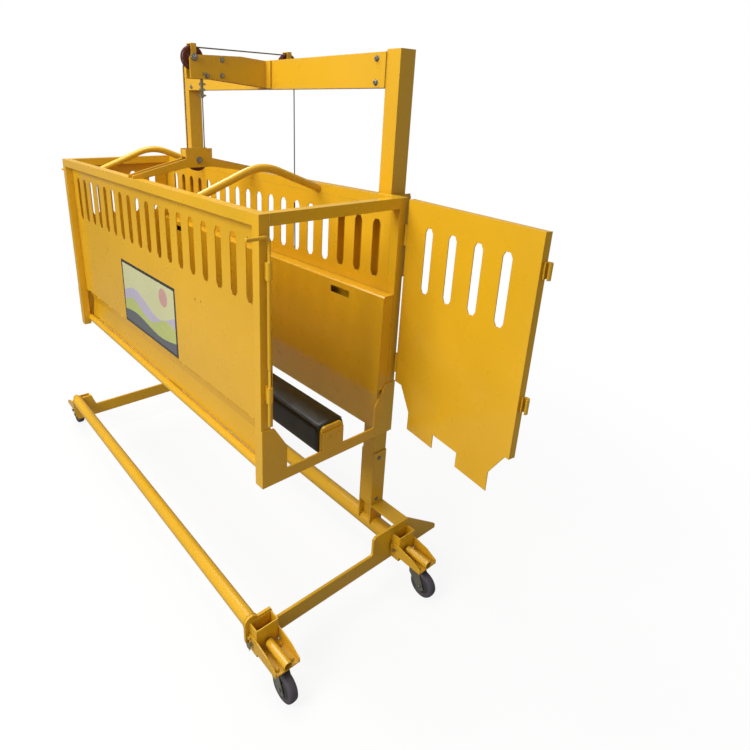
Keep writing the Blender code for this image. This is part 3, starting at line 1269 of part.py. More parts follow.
def build_gate(crate, name, end, outward, open_deg):
    """A slotted sheet gate with flanged edges, hinged at the masts' side of an end."""
    axis_y = end + outward * HINGE_FORWARD
    swing = pivot("gate_swing_" + name, (HINGE_X, axis_y, up(0.6)), crate)
    back = end + outward * GATE_BACK
    front = end + outward * GATE_DEPTH
    skin = back + outward * SHEET

    weld = Weldment()
    sheet = [(HINGE_X - distance, up(z)) for distance, z in gate_outline()]
    add_prism(weld.part(), sheet, "Y", min(back, skin), max(back, skin))
    flange = skin - outward * WELD_BITE
    bottom = END_GUSSET_TOP + GATE_CUT + 0.001
    top = GATE_TOP - 0.001
    for distance in (GATE_WIDTH - SHEET - 0.0005, GATE_EDGE + 0.0005):
        x = HINGE_X - distance
        add_box(weld.part(), (x - SHEET, min(flange, front), up(bottom)), (x, max(flange, front), up(top)))
    add_box(weld.part(), (HINGE_X - GATE_WIDTH + SHEET, min(flange, front), up(top) - SHEET),
            (HINGE_X - GATE_EDGE - SHEET, max(flange, front), up(top) - 0.0005))
    for z in HINGE_HEIGHTS:
        low, high = up(z) - KNUCKLE_LENGTH / 2, up(z) + KNUCKLE_LENGTH / 2
        add_rod(weld.part(), HINGE_X, axis_y, KNUCKLE_RADIUS, "Z", low, high, 16)
        add_rod(weld.part(), HINGE_X, axis_y, HINGE_PIN, "Z", low - KNUCKLE_LENGTH - 0.004, low + 0.002, 12)
        add_box(weld.part(), (HINGE_X - GATE_EDGE - 0.002, axis_y - 0.004, low + 0.001), (HINGE_X, axis_y + 0.004, high - 0.001))
    keeper_y = end + outward * LATCH_FORWARD
    edge = HINGE_X - GATE_WIDTH
    for z in KEEPER_HEIGHTS:
        add_keeper(weld.part(), LATCH_X, keeper_y, outward, up(z))
        half = KEEPER_LENGTH / 2 - 0.001
        keeper_edge = LATCH_X + LATCH_RADIUS + GAP * 3 + 0.002
        add_box(weld.part(), (keeper_edge, keeper_y - 0.004, up(z) - half), (edge + 0.002, keeper_y + 0.004, up(z) + half))
    gate = weld.finish("gate_" + name, "yellow_paint", swing)
    slots = bmesh.new()
    for i in range(GATE_SLOT_COUNT):
        x = HINGE_X - GATE_SLOT_FIRST - GATE_SLOT_PITCH * i
        outline = slot_outline(x, up(GATE_SLOT_BOTTOM), up(GATE_SLOT_TOP), GATE_SLOT_WIDTH, 3)
        add_prism(slots, outline, "Y", min(back, skin) - 0.002, max(back, skin) + 0.002)
    carve(gate, slots)
    swing.rotation_euler = (0.0, 0.0, -outward * math.radians(open_deg))
    return swing


def add_keeper(bm, x, y, outward, z):
    """A clip, open towards the crate, that goes round the latch rod when the gate shuts."""
    inner = LATCH_RADIUS + GAP * 3
    outer = inner + 0.004
    opening = math.degrees(math.asin(KEEPER_THROAT / 2 / inner))
    start = 90 * -outward + opening
    inside = arc(x, y, inner, start, start + 360 - 2 * opening, 12)
    outside = arc(x, y, outer, start, start + 360 - 2 * opening, 12)
    add_prism(bm, inside + list(reversed(outside)), "Z", z - KEEPER_LENGTH / 2, z + KEEPER_LENGTH / 2)


def build_latch(crate, name, end, outward):
    """An upright rod, flattened where it passes the gate's keepers; at the rear its handle points outwards."""
    y = end + outward * LATCH_FORWARD
    turn_point = pivot("latch_turn_" + name, (LATCH_X, y, up(0.6)), crate)
    bm = bmesh.new()
    sides = 12
    half = KEEPER_LENGTH / 2 + 0.004
    flat = LATCH_FLAT / LATCH_RADIUS
    stations = [((0.0, LATCH_END), 90, 1.0)]
    for z in KEEPER_HEIGHTS:
        stations += [((0.0, z - half - 0.004), 90, 1.0), ((0.0, z - half), 90, flat), ((0.0, z + half), 90, flat)]
        if z != KEEPER_HEIGHTS[-1]:
            stations += [((0.0, z + half + 0.004), 90, 1.0)]
    bend_z = LATCH_TOP - LATCH_BEND
    stations += [((0.0, bend_z), 90, 1.0)]
    for step in range(1, 6):
        angle = 18 * step
        turned = math.radians(angle)
        stations.append(((LATCH_BEND * (1 - math.cos(turned)), bend_z + LATCH_BEND * math.sin(turned)), 90 + angle, 1.0))
    stations.append(((LATCH_HANDLE, LATCH_TOP), 180, 1.0))
    rings = []
    for (reach, z), heading, squeeze in stations:
        lean = math.radians(heading - 90)
        ring = []
        for cu, cv in circle(0, 0, LATCH_RADIUS, sides):
            if outward > 0:
                spot = (LATCH_X + cv * squeeze, y + reach - cu * math.cos(lean), up(z) + cu * math.sin(lean))
            else:
                spot = (LATCH_X - reach + cu * squeeze * math.cos(lean), y + cv, up(z) + cu * squeeze * math.sin(lean))
            ring.append(bm.verts.new(spot))
        rings.append(ring)
    for a, b in zip(rings, rings[1:]):
        for i in range(sides):
            j = (i + 1) % sides
            bm.faces.new((a[i], a[j], b[j], b[i]))
    bm.faces.new(list(reversed(rings[0])))
    bm.faces.new(rings[-1])
    finish("latch_rod_" + name, bm, "yellow_paint", turn_point, smooth=True)


def centre_on_floor(root):
    """Moves the whole machine so that the middle of its outline stands at the origin."""
    bpy.context.view_layer.update()
    corners = []
    for item in bpy.context.scene.objects:
        if item.type == "MESH":
            corners += [item.matrix_world @ vertex.co for vertex in item.data.vertices]
    low = [min(corner[k] for corner in corners) for k in range(3)]
    high = [max(corner[k] for corner in corners) for k in range(3)]
    root.location = (-(low[0] + high[0]) / 2, -(low[1] + high[1]) / 2, -low[2])
    print("outline %.4f x %.4f x %.4f m" % tuple(high[k] - low[k] for k in range(3)))


def main():
    clear_scene()
    root = pivot("machine", (0.0, 0.0, 0.0))
    crate = pivot("crate_lift", (SHEAVE_X, MID_Y, CRATE_SHEAVE_Z), root)
    drum = pivot("drum_turn", (DRUM_X, MID_Y, DRUM_Z), root)
    crank = pivot("crank_turn", (DRUM_X, MID_Y, PINION_Z), root)
    build_base(root)
    build_masts(root)
    build_feet(root)
    build_top_beam(root)
    build_arm(root)
    build_winch(root, drum, crank)
    build_dead_end(root)
    sheave("tip_sheave", pivot("tip_sheave_turn", (SHEAVE_X, MID_Y, TIP_SHEAVE_Z), root), SHEAVE_X, TIP_SHEAVE_Z)
    sheave("root_sheave", pivot("root_sheave_turn", (ROOT_SHEAVE_X, MID_Y, TIP_SHEAVE_Z), root),
           ROOT_SHEAVE_X, TIP_SHEAVE_Z)
    sheave("crate_sheave", pivot("crate_sheave_turn", (SHEAVE_X, MID_Y, CRATE_SHEAVE_Z), crate), SHEAVE_X, CRATE_SHEAVE_Z)
    build_rope(root, crate, drum)
    for name, x, face, outward in wheel_names():
        build_wheel(root, name, x, face, outward)
    build_crate_frame(crate)
    build_walls(crate)
    build_belly(crate)
    build_arches(crate)
    build_bridge(crate)
    build_carriages(crate)
    build_gate(crate, "front", 0.0, -1, GATE_OPEN_DEG)
    build_gate(crate, "rear", CRATE_LENGTH, 1, 0.0)
    build_latch(crate, "front", 0.0, -1)
    build_latch(crate, "rear", CRATE_LENGTH, 1)
    centre_on_floor(root)


main()
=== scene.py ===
"""Looks for a hoof trimming machine: enamel, vinyl, fasteners, welds, casters and rope fittings.

Metres, +Z up.  Pieces are placed from the crate's front left corner post on the floor, with X
across the crate towards the masts and Y along it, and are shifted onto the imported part.
"""

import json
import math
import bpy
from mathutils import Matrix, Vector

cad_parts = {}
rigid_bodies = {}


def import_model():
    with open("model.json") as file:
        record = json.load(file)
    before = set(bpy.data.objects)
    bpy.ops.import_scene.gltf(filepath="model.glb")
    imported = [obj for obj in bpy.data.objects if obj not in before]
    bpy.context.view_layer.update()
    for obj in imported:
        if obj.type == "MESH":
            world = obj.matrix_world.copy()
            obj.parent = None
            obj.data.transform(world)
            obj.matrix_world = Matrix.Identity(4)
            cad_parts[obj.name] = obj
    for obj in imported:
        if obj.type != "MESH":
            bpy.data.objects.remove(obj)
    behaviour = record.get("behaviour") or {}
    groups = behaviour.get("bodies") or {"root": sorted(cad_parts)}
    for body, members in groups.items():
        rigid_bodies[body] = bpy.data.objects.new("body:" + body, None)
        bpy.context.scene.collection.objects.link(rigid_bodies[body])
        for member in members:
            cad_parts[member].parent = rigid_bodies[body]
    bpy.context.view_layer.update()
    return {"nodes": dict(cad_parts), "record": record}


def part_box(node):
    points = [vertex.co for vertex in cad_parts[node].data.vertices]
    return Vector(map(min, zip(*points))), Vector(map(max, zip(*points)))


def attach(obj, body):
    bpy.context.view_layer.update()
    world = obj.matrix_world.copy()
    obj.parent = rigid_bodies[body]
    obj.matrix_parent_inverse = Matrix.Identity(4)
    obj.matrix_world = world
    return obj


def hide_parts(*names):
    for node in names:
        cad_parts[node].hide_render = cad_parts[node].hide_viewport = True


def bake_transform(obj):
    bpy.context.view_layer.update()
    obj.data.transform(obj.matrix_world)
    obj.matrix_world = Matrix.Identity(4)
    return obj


bl_info = {
    "name": "Hoof trimming machine looks",
    "version": (1, 0, 0),
    "blender": (4, 5, 0),
    "location": "3D View > Sidebar > Trimming machine",
    "description": "Dresses the hoof trimming machine with paint, padding and fittings",
    "category": "Object",
}

import bmesh
import bpy
from bpy.props import FloatProperty, FloatVectorProperty, IntProperty, PointerProperty
from mathutils import Matrix, Vector, noise

for left_over in list(bpy.data.objects):
    bpy.data.objects.remove(left_over, do_unlink=True)

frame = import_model()

# Sizes shared with the frame, from the crate's front left post on the floor
CRATE_LENGTH = 2.02
CRATE_BOTTOM = 0.80
MID_X = 0.3335
MID_Y = CRATE_LENGTH / 2
FRONT_FACE = -0.048
REAR_FACE = CRATE_LENGTH + 0.048
PANEL_FACE = 0.037
SHEAVE_X = 0.322
ROOT_SHEAVE_X = 0.838
TIP_SHEAVE_Z = 2.302
CRATE_SHEAVE_Z = 1.866
DEAD_ROPE_X = 0.365
LEFT_BRACKET_X = -0.045
RIGHT_BRACKET_X = 0.735
WHEELS = (("front_left", LEFT_BRACKET_X, FRONT_FACE, -1), ("front_right", RIGHT_BRACKET_X, FRONT_FACE, -1),
          ("rear_left", LEFT_BRACKET_X, REAR_FACE, 1), ("rear_right", RIGHT_BRACKET_X, REAR_FACE, 1))
LOCK_PIN_OUT = 0.024
LOCK_PIN_Z = 0.182


def frame_origin():
    """Where the crate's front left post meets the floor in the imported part."""
    tube_low, tube_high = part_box("base_tube_left")
    plate_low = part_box("base_plate_front")[0]
    return Vector((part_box("crate_frame")[0].x, (tube_low.y + tube_high.y) / 2 - MID_Y, plate_low.z - 0.120))


ORIGIN = frame_origin()


# --- settings -------------------------------------------------------------------------------

def colour_setting(name, description, default):
    return FloatVectorProperty(name=name, description=description, subtype="COLOR", size=3, min=0.0, max=1.0,
                               default=default)


def length_setting(name, description, default, least=0.0):
    return FloatProperty(name=name, description=description, default=default, min=least, unit="LENGTH")


class PaintSettings(bpy.types.PropertyGroup):
    enamel: colour_setting("Enamel", "Colour of the yellow enamel", (0.78, 0.43, 0.013))
    bare_steel: colour_setting("Bare steel", "Colour where the paint has chipped", (0.19, 0.12, 0.055))
    # Colour of grime and painted shade, mixed into corners and hollows by an occlusion mask
    soil_and_shade: colour_setting("Soil and shade", "Colour of dirt and painted shade in corners", (0.15, 0.075, 0.010))
    wear: FloatProperty(name="Wear", description="How much paint is chipped from edges", default=0.35,
                        min=0.0, max=1.0, subtype="FACTOR")
    edge_radius: length_setting("Edge radius", "Rounding of painted edges", 0.0022)


class CushionSettings(bpy.types.PropertyGroup):
    half_width: length_setting("Half width", "Half the belly cushion's width", 0.069, 0.06)
    crown: length_setting("Crown", "Top of the cushion over the crate's floor", 0.160, 0.15)
    creases: length_setting("Creases", "Depth of the vinyl's creases", 0.0012)
    stitch_pitch: length_setting("Stitch pitch", "Distance between stitches", 0.006, 0.002)


class FittingSettings(bpy.types.PropertyGroup):
    bolt_size: length_setting("Bolt size", "Hex head across its corners, halved", 0.0092, 0.003)
    weld_width: length_setting("Weld width", "Width of a weld bead", 0.0058, 0.001)
    seed: IntProperty(name="Seed", description="Fixes how bolts are turned and beads vary", default=11, min=0)


class StageSettings(bpy.types.PropertyGroup):
    floor_size: length_setting("Floor size", "Radius of the floor", 14.0, 2.0)
    lamp_power: FloatProperty(name="Lamp power", description="Power of the main lamp in watts", default=228.0,
                              min=0.0)
    ambient: FloatProperty(name="Ambient", description="Strength of the light from all round", default=0.27,
                           min=0.0)


# --- node helpers ---------------------------------------------------------------------------

def new_node(tree, kind, values=None, **attributes):
    node = tree.nodes.new(kind)
    for name, value in attributes.items():
        setattr(node, name, value)
    for socket, value in (values or {}).items():
        node.inputs[socket].default_value = value
    return node


def math_node(tree, operation, first, second=None, clamp=False):
    node = new_node(tree, "ShaderNodeMath", operation=operation, use_clamp=clamp)
    for socket, value in zip(node.inputs, (first, second)):
        if value is None:
            continue
        if isinstance(value, (int, float)):
            socket.default_value = value
        else:
            tree.links.new(value, socket)
    return node.outputs[0]


def product(tree, *values):
    value = values[0]
    for other in values[1:]:
        value = math_node(tree, "MULTIPLY", value, other)
    return value


def mix_colour(tree, factor, first, second):
    node = new_node(tree, "ShaderNodeMix", data_type="RGBA")
    for socket, value in ((node.inputs[0], factor), (node.inputs[6], first), (node.inputs[7], second)):
        if isinstance(value, (int, float)):
            socket.default_value = value
        elif isinstance(value, tuple):
            socket.default_value = (*value[:3], 1.0)
        else:
            tree.links.new(value, socket)
    return node.outputs[2]


def ramp(tree, value, low, high, out_low=0.0, out_high=1.0):
    node = new_node(tree, "ShaderNodeMapRange", clamp=True)
    tree.links.new(value, node.inputs["Value"])
    for socket, number in (("From Min", low), ("From Max", high), ("To Min", out_low), ("To Max", out_high)):
        node.inputs[socket].default_value = number
    return node.outputs["Result"]


def noise_value(tree, coordinates, scale, detail=3.0, roughness=0.55):
    node = new_node(tree, "ShaderNodeTexNoise", {"Detail": detail, "Roughness": roughness})
    tree.links.new(coordinates, node.inputs["Vector"])
    if isinstance(scale, (int, float)):
        node.inputs["Scale"].default_value = scale
    else:
        tree.links.new(scale, node.inputs["Scale"])
    return node.outputs["Fac"]


def group_socket(tree, name, kind, default=None, output=False):
    socket = tree.interface.new_socket(name=name, in_out="OUTPUT" if output else "INPUT", socket_type=kind)
    if default is not None:
        socket.default_value = default
    return socket


def seen_directly(tree):
    """One where a ray comes straight from the camera, or through something clear."""
    path = tree.nodes.new("ShaderNodeLightPath")
    return math_node(tree, "MAXIMUM", path.outputs["Is Camera Ray"], path.outputs["Is Transmission Ray"])


def mix_shaders(tree, factor, first, second, target):
    mix = tree.nodes.new("ShaderNodeMixShader")
    for source, socket in ((factor, mix.inputs[0]), (first.outputs[0], mix.inputs[1]),
                           (second.outputs[0], mix.inputs[2]), (mix.outputs[0], target)):
        tree.links.new(source, socket)


def surface_wear_group():
    """Colour variation, chipped edges, grime with painted shade in corners and hollows from an occlusion
    mask, and a fine skin, for any hard surface.
    """
    tree = bpy.data.node_groups.new("Surface wear", "ShaderNodeTree")
    for name, default in (("Colour", (0.8, 0.8, 0.8, 1.0)), ("Worn colour", (0.3, 0.3, 0.3, 1.0)),
                          ("Soil and shade colour", (0.1, 0.1, 0.1, 1.0)), ("Wear", 0.4), ("Soil and shade", 0.4),
                          ("Roughness", 0.35), ("Skin scale", 300.0), ("Skin depth", 0.04),
                          ("Edge radius", 0.002)):
        kind = "NodeSocketColor" if isinstance(default, tuple) else "NodeSocketFloat"
        group_socket(tree, name, kind, default)
    for name, kind in (("Colour", "NodeSocketColor"), ("Roughness", "NodeSocketFloat"),
                       ("Normal", "NodeSocketVector")):
        group_socket(tree, name, kind, output=True)
    source = tree.nodes.new("NodeGroupInput")
    result = tree.nodes.new("NodeGroupOutput")
    link = tree.links.new
    position = new_node(tree, "ShaderNodeTexCoord").outputs["Object"]

    bevel = new_node(tree, "ShaderNodeBevel", samples=4)
    link(source.outputs["Edge radius"], bevel.inputs["Radius"])
    geometry = new_node(tree, "ShaderNodeNewGeometry")
    facing = new_node(tree, "ShaderNodeVectorMath", operation="DOT_PRODUCT")
    link(bevel.outputs["Normal"], facing.inputs[0])
    link(geometry.outputs["Normal"], facing.inputs[1])
    edge = ramp(tree, facing.outputs["Value"], 0.985, 0.80)
    chips = ramp(tree, noise_value(tree, position, 55.0, 4.0, 0.7), 0.50, 0.62)
    patches = ramp(tree, noise_value(tree, position, 5.0, 2.0), 0.45, 0.62)
    chipped = product(tree, edge, chips, patches)
    worn = math_node(tree, "MULTIPLY", chipped, source.outputs["Wear"], clamp=True)

    # Painted shade with grime: an ambient occlusion mask, broken up by noise smears, mixes the
    # grime-and-shade colour into corners and hollows. Where that colour is darker than the finish, this is
    # painted shade; where it is lighter, it is dust.
    corner = new_node(tree, "ShaderNodeAmbientOcclusion", {"Distance": 0.03}, samples=4)
    painted_hollow_shade = ramp(tree, corner.outputs["AO"], 0.85, 0.25)
    smears = ramp(tree, noise_value(tree, position, 9.0, 5.0, 0.65), 0.35, 0.75, 0.35, 1.0)
    soiled_and_shaded = math_node(tree, "MULTIPLY", product(tree, painted_hollow_shade, smears), source.outputs["Soil and shade"], clamp=True)

    tone = ramp(tree, noise_value(tree, position, 2.2, 3.0), 0.3, 0.7, 0.94, 1.05)
    toned = new_node(tree, "ShaderNodeVectorMath", operation="SCALE")
    link(source.outputs["Colour"], toned.inputs[0])
    link(tone, toned.inputs["Scale"])
    colour = mix_colour(tree, soiled_and_shaded, toned.outputs[0], source.outputs["Soil and shade colour"])
    colour = mix_colour(tree, worn, colour, source.outputs["Worn colour"])
    link(colour, result.inputs["Colour"])

    rough = math_node(tree, "ADD", source.outputs["Roughness"],
                      ramp(tree, noise_value(tree, position, 14.0, 4.0), 0.3, 0.7, -0.05, 0.07))
    rough = math_node(tree, "ADD", rough, product(tree, soiled_and_shaded, 0.3))
    rough = math_node(tree, "ADD", rough, product(tree, worn, 0.2), clamp=True)
    link(rough, result.inputs["Roughness"])

    skin = noise_value(tree, position, source.outputs["Skin scale"], 2.0)
    bump = new_node(tree, "ShaderNodeBump", {"Distance": 0.0006})
    link(source.outputs["Skin depth"], bump.inputs["Strength"])
    link(math_node(tree, "SUBTRACT", skin, product(tree, worn, 0.8)), bump.inputs["Height"])
    link(bevel.outputs["Normal"], bump.inputs["Normal"])
    link(bump.outputs["Normal"], result.inputs["Normal"])
    return tree


def vinyl_grain_group():
    """Fine leather-like cells with broad creases, for coated cloth."""
    tree = bpy.data.node_groups.new("Vinyl grain", "ShaderNodeTree")
    group_socket(tree, "Cell scale", "NodeSocketFloat", 700.0)
    group_socket(tree, "Depth", "NodeSocketFloat", 0.15)
    group_socket(tree, "Height", "NodeSocketFloat", output=True)
    group_socket(tree, "Dust", "NodeSocketFloat", output=True)
    source = tree.nodes.new("NodeGroupInput")
    result = tree.nodes.new("NodeGroupOutput")
    position = new_node(tree, "ShaderNodeTexCoord").outputs["Object"]
    cells = new_node(tree, "ShaderNodeTexVoronoi", feature="SMOOTH_F1")
    tree.links.new(position, cells.inputs["Vector"])
    tree.links.new(source.outputs["Cell scale"], cells.inputs["Scale"])
    broad = noise_value(tree, position, 22.0, 3.0)
    height = math_node(tree, "ADD", product(tree, cells.outputs["Distance"], source.outputs["Depth"]),
                       product(tree, broad, 0.5))
    tree.links.new(height, result.inputs["Height"])
    tree.links.new(ramp(tree, noise_value(tree, position, 12.0, 5.0, 0.7), 0.5, 0.75), result.inputs["Dust"])
    return tree


FINISHES = {}

# Hard finishes: name, colour, worn colour, colour of grime and painted shade in hollows, wear, amount of
# grime and painted shade, roughness, and what else differs
HARD_FINISHES = (
    ("dark coat", (0.016, 0.010, 0.006), (0.12, 0.09, 0.06), (0.012, 0.008, 0.005), 0.4, 0.4, 0.6, {}),
    ("maroon", (0.13, 0.022, 0.014), (0.34, 0.30, 0.27), (0.03, 0.015, 0.01), 0.7, 0.6, 0.42,
     {"edge": 0.001}),
    ("zinc", (0.40, 0.41, 0.34), (0.60, 0.60, 0.56), (0.10, 0.085, 0.04), 0.4, 0.7, 0.34,
     {"metallic": 0.9, "skin": (220.0, 0.10), "edge": 0.0008}),
    ("bolt steel", (0.34, 0.34, 0.31), (0.60, 0.60, 0.56), (0.08, 0.06, 0.03), 0.5, 0.6, 0.32,
     {"metallic": 0.9, "edge": 0.0006}),
    ("tyre", (0.085, 0.075, 0.092), (0.15, 0.14, 0.15), (0.16, 0.12, 0.07), 0.5, 0.5, 0.62,
     {"skin": (130.0, 0.3), "edge": 0.001}),
    ("hub", (0.045, 0.045, 0.048), (0.2, 0.2, 0.2), (0.10, 0.08, 0.05), 0.4, 0.5, 0.45, {"edge": 0.001}),
    ("black ring", (0.015, 0.015, 0.015), (0.1, 0.1, 0.1), (0.05, 0.04, 0.03), 0.3, 0.4, 0.5, {}),
    ("thread", (0.045, 0.05, 0.035), (0.1, 0.1, 0.08), (0.03, 0.03, 0.02), 0.1, 0.3, 0.7, {}),
)
PRINT_COLOURS = (("print black", (0.012, 0.012, 0.014)), ("print cream", (0.66, 0.66, 0.36)),
                 ("print lime", (0.50, 0.56, 0.16)), ("print lilac", (0.52, 0.47, 0.60)),
                 ("print pink", (0.62, 0.34, 0.30)), ("print slate", (0.09, 0.10, 0.12)))
FINISH_OF_SLOT = {"yellow_paint": "enamel", "dark_paint": "dark coat", "maroon_paint": "maroon",
                  "zinc": "zinc", "wire_rope": "rope", "black_vinyl": "vinyl", "grey_rubber": "tyre"}


def new_finish(material_name, finish_name):
    """An empty finish, as its node tree and its shader."""
    made = bpy.data.materials.new(material_name)
    made.use_nodes = True
    FINISHES[finish_name] = made
    return made.node_tree, made.node_tree.nodes["Principled BSDF"]


def add_bump(tree, shader, height, strength, distance):
    bump = new_node(tree, "ShaderNodeBump", {"Strength": strength, "Distance": distance})
    tree.links.new(height, bump.inputs["Height"])
    tree.links.new(bump.outputs["Normal"], shader.inputs["Normal"])


def worn_finish(name, group, colour, worn, soil_and_shade, wear, soiled_and_shaded, roughness, metallic=0.0, coat=0.0,
                skin=(300.0, 0.04), edge=0.0022):
    tree, shader = new_finish(name, name)
    shader.inputs["Metallic"].default_value = metallic
    shader.inputs["Coat Weight"].default_value = coat
    shader.inputs["Coat Roughness"].default_value = 0.12
    node = new_node(tree, "ShaderNodeGroup", node_tree=group)
    for socket, value in (("Colour", (*colour, 1.0)), ("Worn colour", (*worn, 1.0)),
                          ("Soil and shade colour", (*soil_and_shade, 1.0)), ("Wear", wear), ("Soil and shade", soiled_and_shaded),
                          ("Roughness", roughness), ("Skin scale", skin[0]), ("Skin depth", skin[1]),
                          ("Edge radius", edge)):
        node.inputs[socket].default_value = value
    for output, socket in (("Colour", "Base Color"), ("Roughness", "Roughness"), ("Normal", "Normal")):
        tree.links.new(node.outputs[output], shader.inputs[socket])
    return tree, shader


def vinyl_finish(group):
    tree, shader = new_finish("black vinyl", "vinyl")
    shader.inputs["Specular IOR Level"].default_value = 0.35
    node = new_node(tree, "ShaderNodeGroup", {"Cell scale": 520.0, "Depth": 0.25}, node_tree=group)
    dust = node.outputs["Dust"]
    tree.links.new(mix_colour(tree, product(tree, dust, 0.25), (0.011, 0.013, 0.008), (0.050, 0.054, 0.036)),
                   shader.inputs["Base Color"])
    tree.links.new(ramp(tree, dust, 0.0, 1.0, 0.30, 0.48), shader.inputs["Roughness"])
    add_bump(tree, shader, node.outputs["Height"], 0.35, 0.001)


def rope_finish(group):
    """Wire rope: diagonal strands wound round each length, dark between the wires."""
    tree, shader = worn_finish("rope", group, (0.15, 0.15, 0.14), (0.45, 0.45, 0.43), (0.05, 0.045, 0.035),
                               0.2, 0.5, 0.45, metallic=0.85, edge=0.0003)
    position = new_node(tree, "ShaderNodeTexCoord").outputs["Object"]
    strands = new_node(tree, "ShaderNodeTexWave", {"Scale": 95.0, "Distortion": 0.0},
                       bands_direction="DIAGONAL")
    tree.links.new(position, strands.inputs["Vector"])
    add_bump(tree, shader, strands.outputs["Fac"], 0.9, 0.0008)


# --- mesh helpers ---------------------------------------------------------------------------

def mesh_of(name, bm):
    mesh = bpy.data.meshes.new(name)
    bm.to_mesh(mesh)
    bm.free()
    return mesh


def add_object(name, data):
    item = bpy.data.objects.new(name, data)
    bpy.context.scene.collection.objects.link(item)
    return item


def on_circle(radius, i, count):
    """The i-th of count even points round a circle, as its two coordinates."""
    angle = 2 * math.pi * i / count
    return radius * math.cos(angle), radius * math.sin(angle)


def add_piece(name, bm, body, finishes, smooth_deg=38.0):
    """Turns a bmesh, in assembly coordinates, into a finished piece that rides on a body."""
    bmesh.ops.remove_doubles(bm, verts=bm.verts, dist=1e-6)
    bmesh.ops.recalc_face_normals(bm, faces=bm.faces)
    return add_mesh(name, mesh_of(name, bm), body, finishes, smooth_deg)


def add_mesh(name, mesh, body, finishes, smooth_deg=38.0):
    mesh.transform(Matrix.Translation(ORIGIN))
    for finish in finishes:
        mesh.materials.append(FINISHES[finish])
    for face in mesh.polygons:
        face.use_smooth = True
    mesh.set_sharp_from_angle(angle=math.radians(smooth_deg))
    item = add_object(name, mesh)
    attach(item, body)
    return item


def ring_of(bm, centre, radius, sides, normal, across):
    other = normal.cross(across)
    return [bm.verts.new(centre + across * radius * math.cos(2 * math.pi * i / sides)
                         + other * radius * math.sin(2 * math.pi * i / sides)) for i in range(sides)]


def skin_rings(bm, rings):
    """Closes the sides between rings of as many points each."""
    count = len(rings[0])
    for a, b in zip(rings, rings[1:]):
        for i in range(count):
            j = (i + 1) % count
            bm.faces.new((a[i], b[i], b[j], a[j]))


def mirrored(half):
    """A turned profile's rows, followed by the same rows on the other side of its middle."""
    return half + [(radius, -along, *finish) for radius, along, *finish in reversed(half)]


def lathe(bm, rows, centre, axis, sides=56):
    """Spins rows of (radius, along, finish) round an axis; a closed outline unless it meets the axis.

    A row without a finish takes the piece's first one."""
    axis = Vector(axis).normalized()
    across = axis.orthogonal().normalized()
    centre = Vector(centre)
    rings = []
    for radius, along, *_ in rows:
        spot = centre + axis * along
        on_axis = radius <= 0.0
        rings.append([bm.verts.new(spot)] if on_axis else ring_of(bm, spot, radius, sides, axis, across))
    closed = len(rings[0]) > 1
    count = len(rings) if closed else len(rings) - 1
    for k in range(count):
        a, b = rings[k], rings[(k + 1) % len(rings)]
        for i in range(sides):
            j = (i + 1) % sides
            if len(a) == 1:
                face = bm.faces.new((a[0], b[i], b[j]))
            elif len(b) == 1:
                face = bm.faces.new((a[i], b[0], a[j]))
            else:
                face = bm.faces.new((a[i], b[i], b[j], a[j]))
            face.material_index = rows[k][2] if len(rows[k]) > 2 else 0


def wire(bm, points, radius, sides=10):
    """A round wire along points, with capped ends."""
    points = [Vector(p) for p in points]
    across = None
    rings = []
    for i, point in enumerate(points):
        ahead = points[min(i + 1, len(points) - 1)] - points[max(i - 1, 0)]
        normal = ahead.normalized()
        if across is None:
            across = normal.orthogonal().normalized()
        across = (across - normal * across.dot(normal)).normalized()
        rings.append(ring_of(bm, point, radius, sides, normal, across))
    skin_rings(bm, rings)
    bm.faces.new(rings[0])
    bm.faces.new(rings[-1])


# --- geometry node trees --------------------------------------------------------------------

def start_node_tree(name, inputs):
    tree = bpy.data.node_groups.new(name, "GeometryNodeTree")
    group_socket(tree, "Geometry", "NodeSocketGeometry")
    for socket, kind, default in inputs:
        group_socket(tree, socket, kind, default)
    group_socket(tree, "Geometry", "NodeSocketGeometry", output=True)
    return tree, tree.nodes.new("NodeGroupInput"), tree.nodes.new("NodeGroupOutput")


def finish_tree(tree, source, result, instances):
    real = tree.nodes.new("GeometryNodeRealizeInstances")
    paint = tree.nodes.new("GeometryNodeSetMaterial")
    tree.links.new(instances, real.inputs["Geometry"])
    tree.links.new(real.outputs["Geometry"], paint.inputs["Geometry"])
    tree.links.new(source.outputs["Material"], paint.inputs["Material"])
    tree.links.new(paint.outputs["Geometry"], result.inputs["Geometry"])


